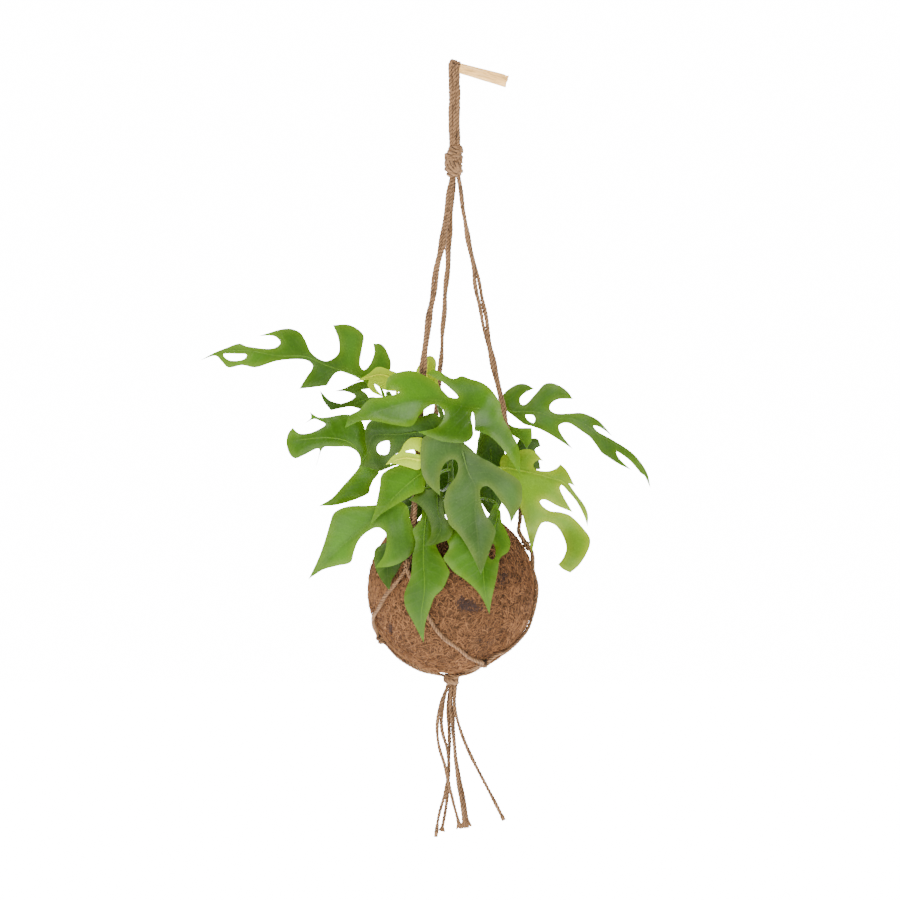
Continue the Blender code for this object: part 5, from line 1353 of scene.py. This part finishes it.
class PLANT_OT_studio(bpy.types.Operator):
    """Pale floor and backdrop, soft lights and the camera"""
    bl_idname = "plant.studio"
    bl_label = "Studio"

    def execute(self, context):
        floor = self.floor(context)
        paint = self.glowing("Studio Paper", 3.0)
        paper = paint.noise(paint.place(), 3.0, 2.0)
        paint.feed("Base Color", paint.mix((0.93, 0.93, 0.93), (0.97, 0.97, 0.97),
                                           paper.ramp(0.4, 0.6)))
        floor.data.materials.append(paint.material)
        # the camera sees a brighter copy, which lights nothing
        floor.visible_camera = False
        white = placed("studio_white", floor.data.copy())
        white.data.materials.clear()
        white.data.materials.append(self.glowing("Studio White", 14.0).material)
        for ray in ("diffuse", "glossy", "transmission", "volume_scatter", "shadow"):
            setattr(white, "visible_" + ray, False)
        self.camera(context)
        for lamp in LAMPS:
            self.lamp(*lamp)
        world = context.scene.world or bpy.data.worlds.new("Studio World")
        context.scene.world = world
        world.use_nodes = True
        sky = world.node_tree.nodes["Background"]
        sky.inputs["Color"].default_value = (*WHITE, 1.0)
        sky.inputs["Strength"].default_value = 0.28
        return {"FINISHED"}

    def floor(self, context):
        """A floor below the tassel that bends up into a backdrop behind it."""
        bpy.ops.object.select_all(action="DESELECT")
        bpy.ops.mesh.primitive_plane_add(size=FLOOR_SIZE,
                                         location=(0.0, 0.0, CAD_BOX[0][2] - FLOOR_DROP))
        floor = context.object
        floor.name = "studio_floor"
        bpy.ops.object.mode_set(mode="EDIT")
        bpy.ops.mesh.select_all(action="DESELECT")
        bpy.ops.object.mode_set(mode="OBJECT")
        back = [vert.co.y > 0.0 for vert in floor.data.vertices]
        for edge in floor.data.edges:
            edge.select = all(back[index] for index in edge.vertices)
        for vert in floor.data.vertices:
            vert.select = back[vert.index]
        bpy.ops.object.mode_set(mode="EDIT")
        bpy.ops.mesh.extrude_region_move(
            TRANSFORM_OT_translate={"value": (0, 0, BACKDROP_HEIGHT)})
        bpy.ops.object.mode_set(mode="OBJECT")
        bevel = floor.modifiers.new("Sweep", "BEVEL")
        bevel.width = BACKDROP_BEND
        bevel.segments = 12
        bevel.angle_limit = math.radians(60)
        bpy.ops.object.modifier_apply(modifier=bevel.name)
        bpy.ops.object.transform_apply(location=True, rotation=True, scale=True)
        floor.data.shade_smooth()
        return floor

    def glowing(self, name, strength):
        """White paper that gives light."""
        paint = Paint(name, 0.95, 0.1)
        paint.shader.inputs["Emission Color"].default_value = (*WHITE, 1.0)
        paint.shader.inputs["Emission Strength"].default_value = strength
        return paint

    def camera(self, context):
        """A long lens that looks level at the object's middle."""
        lens = bpy.data.cameras.new("Studio Camera")
        lens.lens = 200.0
        lens.sensor_width = 36.0
        lens.clip_end = 60.0
        camera = placed("Studio Camera", lens)
        camera.location = VIEW_MIDDLE + Vector((0.0, -VIEW_DISTANCE, 0.0))
        camera.rotation_euler = (math.radians(90), 0.0, 0.0)
        context.scene.camera = camera

    def lamp(self, name, place, size, power, colour):
        """A square soft lamp aimed at the object's middle."""
        light = bpy.data.lights.new(name, "AREA")
        light.shape = "SQUARE"
        light.size = size
        light.energy = power
        light.color = colour
        lamp = placed(name, light)
        lamp.location = place
        aim = VIEW_MIDDLE - Vector(place)
        lamp.rotation_euler = aim.to_track_quat("-Z", "Y").to_euler()


# each tail's end: knot radius, how far up it sits, how long it is, its brush and its flare
TAIL_ENDS = ((1.9, 6.5, 1.1, 7.5, 0.42), (2.3, 6.5, 2.3, 6.0, 0.05), (1.7, 5.5, 1.0, 5.8, 0.50),
             (1.9, 8.0, 1.1, 8.8, 0.48), (2.0, 8.0, 1.1, 9.0, 0.34), (2.2, 3.2, 1.2, 3.4, 0.20))


class PLANT_OT_tails(bpy.types.Operator):
    """Six cord ends that hang free below the pot"""
    bl_idname = "plant.tails"
    bl_label = "Tassel"

    def execute(self, context):
        look = context.scene.plant_settings
        paint = jute_paint(context.scene.plant_colours)
        for number in range(6):
            chance = random.Random(500 + number)
            threads = Threads()
            route = tail_route(number)
            laid = lay_rope(threads, [route[0] + Vector((0, 0, 0.9))] + route,
                            TAIL_RADIUS * THICKER["tail"], look.cord_pitch / MM, chance,
                            look.fuzz_per_metre, end_scale=0.95)
            end = laid[-1] - laid[-4]
            end /= np.linalg.norm(end)
            name = "tail_cord_%d" % (number + 1)
            tail = seat(threads.piece("tassel_cord_%d" % (number + 1), paint), "jute", name)
            threads = Threads()
            self.fray(threads, laid[-1], end, number, chance)
            knot = seat(threads.piece("tassel_end_%d" % (number + 1), paint), "jute", name)
            length = sum((q - p).length for p, q in zip(route, route[1:])) * MM
            tuple(route[0] * MM)
            [tuple(point * MM) for point in route]
        return {"FINISHED"}

    def fray(self, threads, tip, heading, number, chance):
        """A small knot near the end and a brush of loose plies below it."""
        size, lift, tall, brush, flare = TAIL_ENDS[number]
        middle = tip - heading * lift
        # a packed inside, drawn dark as painted shade
        knot_core(threads, middle, heading, size * 0.8, size * tall)
        wind_knot(threads, middle, heading, size, size * tall, 1.1, 1.8 * tall, 0.8, chance, 200)
        side = np.cross(heading, (0.0, 1.0, 0.0))
        side /= np.linalg.norm(side) + 1e-9
        other = np.cross(heading, side)
        lines, outs = [], []
        for _ in range(54):
            turn = chance.random() * TURN
            out = spoke(side, other, turn)
            far = math.sqrt(chance.random())
            length = brush * chance.uniform(0.86, 1.0)
            start = middle + heading * size * 0.2 + out * far * size * 0.55
            lines.append([start + (heading + out * flare * far * (0.5 + 0.5 * t)) * length * t
                          for t in (0.0, 0.4, 0.75, 1.0)])
            outs.append([np.cross(heading, out)] * 4)
        radii = np.tile(np.array((0.40, 0.38, 0.34, 0.26)), (len(lines), 1))
        threads.add(np.array(lines), radii, np.array(outs), 4,
                    [chance.random() for _ in lines])


# each leg's seed, which one, how far its cords part at the slit and its sideways lean up high
LEG_LOOKS = ((21, "front", 0.0, 0.8), (22, "back", 0.0, -0.8), (23, "right", 0.9, 0.0))


class PLANT_OT_hanger(bpy.types.Operator):
    """Loops over the peg, legs, knots and the net round the pot"""
    bl_idname = "plant.hanger"
    bl_label = "Jute Hanger"

    def execute(self, context):
        look = context.scene.plant_settings
        self.paint = jute_paint(context.scene.plant_colours)
        self.pitch = look.cord_pitch / MM
        self.radius = look.cord_diameter / 2 / MM
        self.fuzz = look.fuzz_per_metre
        top = Vector((KNOT_X, 0.0, (TOP_KNOT_TOP + TOP_KNOT_BOTTOM) / 2))
        self.cords("loop_cords", [run_in(loop_route(number), top, top, 0.4)
                                  for number in range(3)], 11,
                   ["loop_cord_%d" % (number + 1) for number in range(3)], "loop")
        for seed, which, slit, lean in LEG_LOOKS:
            self.cords("leg_cords_" + which,
                       [run_in(route, top, upper_knot(which)[0], 0.4)
                        for route in drawn_together(leg_routes(which), slit, lean)],
                       seed, ["leg_cord_%s_a" % which, "leg_cord_%s_b" % which], "leg")
        self.cords("net_cords", [run_in(net_route(*strand), upper_knot(strand[0])[0],
                                        lower_knot(strand[1])[0]) for strand in NET], 31,
                   ["net_cord_%s_to_%s" % strand[:2] for strand in NET], "net")
        self.gathers()
        self.knots()
        return {"FINISHED"}

    def cords(self, name, routes, seed, nodes, kind):
        """Cords of one kind as one piece."""
        chance = random.Random(seed)
        threads = Threads()
        for route in routes:
            lay_rope(threads, route, self.radius * THICKER[kind], self.pitch, chance, self.fuzz,
                     wander=STRAYING)
        seat(threads.piece(name, self.paint), "jute", *nodes)

    def gathers(self):
        """Each pair of cords under the pot, twisting round each other."""
        chance = random.Random(41)
        threads = Threads()
        for which in LOWER_KNOTS:
            guide = run_in(gather_route(which), lower_knot(which)[0], BOTTOM)
            route = smooth_line(guide, 4.0)
            _, side, other = carried(route)
            turn = np.linspace(0.0, 3.4, len(route))[:, None]
            out = side * np.cos(turn) + other * np.sin(turn)
            for way in (1, -1):
                lay_rope(threads, route + out * way * self.radius * 0.72,
                         self.radius * THICKER["gather"], self.pitch, chance, self.fuzz)
        seat(threads.piece("gather_cords", self.paint), "jute",
             *["gather_cord_" + which for which in LOWER_KNOTS])

    def knots(self):
        """The pulled knots: one big, three small above, three below and the bottom one."""
        middle = (KNOT_X, 0.0, (TOP_KNOT_TOP + TOP_KNOT_BOTTOM) / 2)
        half = (TOP_KNOT_TOP - TOP_KNOT_BOTTOM) / 2
        self.knot("top_knot", middle, (0.04, 0, 1), TOP_KNOT_RADIUS, half, 2.5, 51, 0, True)
        for seed, which in ((52, "right"), (53, "front"), (54, "back")):
            middle, along, _ = upper_knot(which)
            self.knot("upper_knot_" + which, middle, along, *UPPER_KNOT_SIZE, 1.6, seed, 2.9)
        for seed, which in ((55, "front_right"), (56, "left"), (57, "back_right")):
            middle, along, _ = lower_knot(which)
            self.knot("lower_knot_" + which, hug(middle, KNOT_PULL), along, *LOWER_KNOT_SIZE, 1.75,
                      seed, 1.8)
        self.knot("bottom_knot", BOTTOM, (0.12, 0, 1), BOTTOM_KNOT_RADIUS, BOTTOM_KNOT_HALF, 1.9,
                  58, 0, True)

    def knot(self, name, middle, along, radius, half, cord, seed, turns, bold=False):
        """One knot: a packed inside, drawn dark as painted shade, and the wraps round it."""
        chance = random.Random(seed)
        threads = Threads()
        knot_core(threads, middle, along, radius - cord * 0.75, half * 0.95)
        if bold:
            wind_knot(threads, middle, along, radius * 0.93, half * 0.97, cord * 0.9,
                      half / cord * 1.05, half * 0.12, chance)
            bold_knot(threads, middle, along, radius, half, cord, chance)
        else:
            wind_knot(threads, middle, along, radius, half, cord, turns, half * 0.22, chance)
        seat(threads.piece(name + "_wraps", self.paint), "jute", name)


class PLANT_OT_peg(bpy.types.Operator):
    """The split pine peg with a torn end"""
    bl_idname = "plant.peg"
    bl_label = "Peg"

    def execute(self, context):
        bpy.ops.object.select_all(action="DESELECT")
        turn = (-peg_axis()).to_track_quat("Z", "Y").to_euler()
        middle = peg_axis() * PEG_LENGTH / 2
        bpy.ops.mesh.primitive_cylinder_add(
            vertices=28, radius=PEG_THICK_RADIUS * MM, depth=PEG_LENGTH * MM,
            end_fill_type="NGON", location=middle * MM, rotation=turn)
        peg = context.object
        peg.name = "hanging_peg_finish"
        for _ in range(5):
            work = bmesh.new()
            work.from_mesh(peg.data)
            long = [edge for edge in work.edges
                    if abs(edge.verts[0].co.z - edge.verts[1].co.z) > 1.2 * MM]
            bmesh.ops.subdivide_edges(work, edges=long, cuts=1)
            work.to_mesh(peg.data)
            work.free()
        half = PEG_LENGTH / 2
        dark = []
        for vert in peg.data.vertices:
            x, y, z = vert.co / MM
            down = half - z
            angle = math.atan2(y, x)
            # old bark left along one edge by the cords and on the torn end
            bark = abs(down - 36.0) < 8.0 and abs(angle + 0.35 * math.pi) < 0.16
            dark.append(0.8 if bark or (down < 0.4 and y * x > 1.0) else 0.0)
            thick = PEG_THICK_RADIUS + (PEG_THIN_RADIUS - PEG_THICK_RADIUS) * down / PEG_SHOULDER
            if down > PEG_SHOULDER + 0.9:
                thick = PEG_NECK_RADIUS
            # split faces run along the grain, so the outline has soft flats
            flats = 0.955 + 0.045 * abs(math.cos(2.5 * angle + 0.6))
            flats += 0.03 * noise.noise(Vector((math.cos(angle) * 2.2, math.sin(angle) * 2.2,
                                                z * 0.04)))
            grain = 0.16 * noise.noise(Vector((math.cos(angle) * 7, math.sin(angle) * 7,
                                               z * 0.06)))
            reach = min(1.0, math.hypot(x, y) / PEG_THICK_RADIUS)
            radius = thick * flats * reach + grain * reach
            torn = 0.0
            if down < 0.5:
                torn = 1.1 * noise.noise(Vector((x * 0.35, y * 0.35, 4.0)))
                torn += 0.7 * noise.noise(Vector((x * 1.1, y * 0.4, 9.0)))
            elif down < 4.0 and angle > 0.3 and reach > 0.9:
                radius -= 0.5
            vert.co = Vector((math.cos(angle) * radius, math.sin(angle) * radius,
                              z - 0.8 + torn if torn else z)) * MM
        bpy.ops.object.mode_set(mode="EDIT")
        bpy.ops.mesh.select_all(action="SELECT")
        bpy.ops.mesh.normals_make_consistent(inside=False)
        bpy.ops.object.mode_set(mode="OBJECT")
        bpy.ops.object.transform_apply(location=True, rotation=True, scale=True)
        peg.data.shade_smooth()
        peg.data.set_sharp_from_angle(angle=math.radians(45))
        peg.data.materials.append(wood_paint(context.scene.plant_colours))
        give(peg, dark=dark)
        seat(peg, "pine", "hanging_peg")
        return {"FINISHED"}


# dark stains on the ball: place across and up from its centre, half sizes, strength
STAINS = ((9.0, -10.5, 4.5, 5.5, 0.85), (15.0, -12.0, 5.0, 5.0, 0.95),
          (22.0, -14.0, 5.0, 3.5, 0.8),
          (46.0, 12.5, 4.0, 7.5, 0.5), (-54.0, -33.0, 2.5, 5.0, 0.7), (38.0, 30.0, 6.0, 5.0, 0.35),
          (-34.0, 34.0, 7.0, 5.0, 0.4), (30.0, -44.0, 9.0, 3.0, 0.3))


def stain_at(points):
    """How dark each point of the pot is stained, 0 to 1, in millimetres from its centre."""
    total = np.zeros(len(points))
    for x, z, wide, high, strength in STAINS:
        gap = np.sqrt(((points[:, 0] - x) / wide) ** 2 + ((points[:, 2] - z) / high) ** 2)
        rough = 0.35 * np.sin(points[:, 0] * 0.9 + z) + 0.3 * np.sin(points[:, 2] * 1.3 + x)
        mark = strength * np.clip(1.6 - gap - rough * 0.5, 0.0, 1.0)
        total = np.maximum(total, mark * (points[:, 1] < 0.0))
    return total


class PLANT_OT_pot(bpy.types.Operator):
    """The coconut fibre ball: a packed wall and loose strands felted over it"""
    bl_idname = "plant.pot"
    bl_label = "Coconut Pot"

    def execute(self, context):
        colours = context.scene.plant_colours
        self.wall(coir_paint("Coconut Wall", colours, WALL_SHADE))
        strands = context.scene.plant_settings.coir_strands
        paint = coir_paint("Coconut Fibre", colours, 1.0)
        share = strands // 2
        self.felt("coconut_strands_upper", paint, share, 61, True)
        self.felt("coconut_strands_lower", paint, share, 62, False)
        return {"FINISHED"}

    def wall(self, paint):
        """The wall, spun from its section and roughened."""
        mouth = math.asin(POT_MOUTH_RADIUS / POT_RADIUS)
        inner = POT_RADIUS - POT_WALL
        inner_mouth = math.asin((POT_MOUTH_RADIUS - 2.0) / inner)
        section = []
        for step in range(49):
            angle = math.pi - (math.pi - mouth) * step / 48
            section.append(((POT_RADIUS - 0.5) * math.sin(angle),
                            (POT_RADIUS - 0.5) * math.cos(angle)))
        section.append((POT_MOUTH_RADIUS - 1.0, section[-1][1] + 0.9))
        for step in range(25):
            angle = inner_mouth + (math.pi - inner_mouth) * step / 24
            section.append((inner * math.sin(angle), inner * math.cos(angle)))
        wall = spun("coconut_wall", section, 128)
        mesh = wall.data
        for vert in mesh.vertices:
            out = vert.co / MM - POT_CENTRE
            reach = out.length
            way = out / reach
            rough = 0.7 * noise.noise(way * 9.0) + 0.6 * noise.noise(way * 24.0)
            outer = 1.0 if reach > POT_RADIUS - 3.0 else 0.25
            vert.co = (POT_CENTRE + way * (reach + (rough - 0.35) * outer)) * MM
        mesh.materials.append(paint)
        mesh.shade_smooth()
        spots = np.array([tuple(vert.co / MM - POT_CENTRE) for vert in mesh.vertices])
        give(wall, stain=stain_at(spots),
             shade=[0.35 + 0.3 * noise.noise(Vector(spot) * 0.25) for spot in spots])
        seat(wall, "coconut_fibre", "coconut_pot")

    def felt(self, name, paint, count, seed, upper):
        """Strands lying on the wall: upright above, swirling below."""
        chance = np.random.default_rng(seed)
        mouth = math.cos(math.asin(POT_MOUTH_RADIUS / POT_RADIUS))
        if upper:
            height = chance.uniform(-0.12, mouth + 0.012, count)
        else:
            height = chance.uniform(-1.0, 0.10, count)
        azimuth = chance.uniform(0.0, 2 * math.pi, count)
        flat = np.sqrt(1.0 - height ** 2)
        way = np.stack([flat * np.cos(azimuth), flat * np.sin(azimuth), height], axis=1)
        if upper:
            heading = chance.normal(0.0, 0.62, count) + math.pi / 2
            length = chance.uniform(4.0, 14.0, count)
        else:
            heading = 1.1 * np.sin(2.0 * azimuth + 3.0 * height) + chance.normal(0.5, 0.85, count)
            length = chance.uniform(5.0, 19.0, count)
        bend = chance.normal(0.0, 0.10 if upper else 0.14, count)
        thick = chance.uniform(0.13, 0.27, count) * np.where(chance.random(count) < 0.08, 1.6, 1.0)
        lift = np.abs(chance.normal(0.0, 0.35, (count, 1))) * np.ones((1, STRAND_POINTS))
        loose = chance.random(count) < 0.05
        lift[:, -1] += np.where(loose, chance.uniform(1.0, 3.0, count), 0.0)
        lift[:, -2] += np.where(loose, 0.6, 0.0)
        centres = np.zeros((count, STRAND_POINTS, 3))
        spot = way.copy()
        for point in range(STRAND_POINTS):
            centres[:, point] = spot * (POT_RADIUS - 0.15 + lift[:, point])[:, None]
            level = np.stack([-spot[:, 1], spot[:, 0], np.zeros(count)], axis=1)
            level /= np.linalg.norm(level, axis=1, keepdims=True) + 1e-9
            rise = np.cross(spot, level)
            step = level * np.cos(heading)[:, None] + rise * np.sin(heading)[:, None]
            spot = spot + step * (length / (STRAND_POINTS - 1) / POT_RADIUS)[:, None]
            spot /= np.linalg.norm(spot, axis=1, keepdims=True)
            heading = heading + bend * 3.0
        keep = centres[:, :, 2].max(axis=1) < POT_RADIUS * mouth + 1.6
        centres, thick = centres[keep], thick[keep]
        outward = centres / np.linalg.norm(centres, axis=2, keepdims=True)
        taper = np.array((0.5, 1.0, 1.0, 0.9, 0.35))
        threads = Threads()
        shade = chance.random(len(centres))
        middle = np.array(tuple(POT_CENTRE))
        threads.add(centres + middle, thick[:, None] * taper[None],
                    outward, 3, shade)
        piece = threads.piece(name, paint)
        give(piece, stain=stain_at(np.concatenate(threads.verts) - middle))
        seat(piece, "coconut_fibre", "coconut_pot")


class PLANT_OT_soil(bpy.types.Operator):
    """Lumpy potting mix in the pot's mouth"""
    bl_idname = "plant.soil"
    bl_label = "Soil"

    def execute(self, context):
        inner = POT_RADIUS - POT_WALL - GAP - 0.45
        edge = math.acos(SOIL_TOP / inner)
        section = [(0.0, SOIL_TOP + SOIL_DOME)]
        for step in range(1, 22):
            x = inner * math.sin(edge) * step / 22
            section.append((x, SOIL_TOP + SOIL_DOME * (1 - (step / 22) ** 2)))
        for step in range(14):
            angle = edge + (math.pi - edge) * step / 13
            section.append((inner * math.sin(angle), inner * math.cos(angle)))
        soil = spun("potting_soil_finish", section, 72)
        for vert in soil.data.vertices:
            point = vert.co / MM - POT_CENTRE
            if point.z > SOIL_TOP - 0.5:
                lump = 1.6 * noise.noise(point * 0.16) + 1.1 * noise.noise(point * 0.5)
                vert.co.z += (lump - 0.5) * MM
        soil.data.materials.append(soil_paint())
        self.crumbs(soil)
        seat(soil, "soil", "potting_soil")
        return {"FINISHED"}

    def crumbs(self, soil):
        """Bark bits and grit lying on the soil, joined to it."""
        chance = random.Random(71)
        work = bmesh.new()
        work.from_mesh(soil.data)
        for _ in range(230):
            reach = 38.0 * math.sqrt(chance.random())
            turn = chance.random() * TURN
            size = chance.uniform(0.7, 2.0)
            top = SOIL_TOP + 2.2 * (1 - (reach / 47.0) ** 2)
            place = POT_CENTRE + Vector((reach * math.cos(turn), reach * math.sin(turn), top))
            lean = Matrix.Rotation(chance.random() * NEAR_TURN, 4, "Z") @ Matrix.Rotation(
                chance.uniform(-0.5, 0.5), 4, "X")
            shape = Matrix.Diagonal((size * chance.uniform(0.8, 1.8), size, size * 0.6, 1.0))
            bmesh.ops.create_icosphere(work, subdivisions=1, radius=MM,
                                       matrix=Matrix.Translation(place * MM) @ lean @ shape)
        work.to_mesh(soil.data)
        work.free()
        soil.data.shade_smooth()


class PLANT_OT_stems(bpy.types.Operator):
    """Three stems with joints where leaves leave them"""
    bl_idname = "plant.stems"
    bl_label = "Stems"

    def execute(self, context):
        paint = stem_paint()
        for seed, (name, points) in enumerate(STEMS.items()):
            line = smooth_line(points, 1.6)
            reach = np.linspace(0.0, 1.0, len(line))
            _, side, _ = carried(line)
            radii = STEM_RADIUS * (1.0 - 0.2 * reach)
            for leaf in LEAVES.values():
                if leaf["stem"][0] == name:
                    radii = radii + 0.5 * np.exp(-((reach - leaf["stem"][1]) * 60.0) ** 2)
            radii = radii * (1 + 0.03 * np.sin(reach * 90 + seed))
            radii[-1] *= 0.6
            stem = Threads()
            stem.add(line[None], radii[None], side[None], 14, 0.5)
            seat(stem.piece(name + "_finish", paint), "stem_green", name)
        return {"FINISHED"}


# each leaf's colour, brightness and gloss; the brightness is partly the leaf's own tone
# and partly painted shade, lower for leaves that lie deep inside or behind the plant
TONES = {
    "leaf_long_left": ("leaf", 0.92, 0.40), "leaf_folded_young": ("leaf_young", 0.85, 0.48),
    "leaf_small_back_left": ("leaf", 0.80, 0.42), "leaf_broad_top": ("leaf", 1.02, 0.36),
    "leaf_large_front": ("leaf_blue", 1.0, 0.42), "leaf_right_small": ("leaf", 1.25, 0.42),
    "leaf_long_right": ("leaf", 0.80, 0.40), "leaf_bright_right": ("leaf_bright", 0.80, 0.44),
    "leaf_rolled_new": ("leaf_young", 1.05, 0.46), "leaf_front_left": ("leaf", 1.05, 0.38),
    "leaf_two_lobes_left": ("leaf", 1.0, 0.42), "leaf_dark_low_left": ("leaf", 0.62, 0.42),
    "leaf_low_middle": ("leaf", 0.92, 0.38), "leaf_curled_middle": ("leaf", 0.50, 0.46),
    "leaf_low_right": ("leaf", 1.0, 0.38), "leaf_broad_left": ("leaf", 1.04, 0.34),
    "leaf_holed_left": ("leaf", 0.60, 0.42), "leaf_new_shoot": ("leaf_young", 0.9, 0.46),
    "leaf_dark_inner_right": ("leaf", 0.55, 0.42), "leaf_back": ("leaf", 0.9, 0.40),
    "leaf_back_left": ("leaf", 0.5, 0.40), "leaf_back_right": ("leaf", 0.6, 0.40)}
SLOTS = {"green": "leaf_green", "blue": "leaf_blue_green", "light": "leaf_light_green",
         "bright": "leaf_bright_green", "young": "leaf_young_yellow", "deep": "leaf_deep_green"}


class PLANT_OT_leaves(bpy.types.Operator):
    """Every leaf with its stalk"""
    bl_idname = "plant.leaves"
    bl_label = "Leaves"

    def execute(self, context):
        look = context.scene.plant_settings
        colours = context.scene.plant_colours
        for seed, (name, leaf) in enumerate(LEAVES.items()):
            key, bright, gloss = TONES[name]
            # the brightness carries painted shade as well as the leaf's own tone
            colour = tint(getattr(colours, key), bright)
            pale = tuple(0.55 * channel + 0.45 * target
                         for channel, target in zip(colour, (0.30, 0.40, 0.09)))
            paint = leaf_paint(name.replace("_", " ").title(), colour, float(seed), gloss, pale)
            blade = make_leaf(name + "_finish", leaf, look.blade_thickness, paint, seed)
            seat(blade, SLOTS[leaf["colour"]], name)
        return {"FINISHED"}


OPERATORS = (PLANT_OT_studio, PLANT_OT_tails, PLANT_OT_hanger, PLANT_OT_peg, PLANT_OT_pot,
             PLANT_OT_soil, PLANT_OT_stems, PLANT_OT_leaves)


class PLANT_PT_panel(bpy.types.Panel):
    """The plant's settings and steps in the sidebar"""
    bl_idname = "PLANT_PT_panel"
    bl_label = "Hanging Mini Monstera"
    bl_space_type = "VIEW_3D"
    bl_region_type = "UI"
    bl_category = "Plant"

    def draw(self, context):
        column = self.layout.column()
        for store in (context.scene.plant_settings, context.scene.plant_colours):
            for name in store.bl_rna.properties.keys():
                if name not in ("rna_type", "name"):
                    column.prop(store, name)
        for step in OPERATORS:
            column.operator(step.bl_idname)


CLASSES = (PlantSettings, PlantColours, PLANT_PT_panel) + OPERATORS


def register():
    """Register the classes and their settings."""
    for item in CLASSES:
        bpy.utils.register_class(item)
    bpy.types.Scene.plant_settings = bpy.props.PointerProperty(type=PlantSettings)
    bpy.types.Scene.plant_colours = bpy.props.PointerProperty(type=PlantColours)


def unregister():
    """Remove the classes and their settings."""
    del bpy.types.Scene.plant_colours
    del bpy.types.Scene.plant_settings
    for item in reversed(CLASSES):
        bpy.utils.unregister_class(item)


def main():
    """Run every step in order."""
    register()
    bpy.ops.plant.studio()
    bpy.ops.plant.tails()
    bpy.ops.plant.hanger()
    bpy.ops.plant.peg()
    bpy.ops.plant.pot()
    bpy.ops.plant.soil()
    bpy.ops.plant.stems()
    bpy.ops.plant.leaves()
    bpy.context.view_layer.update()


if __name__ == "__main__":
    main()
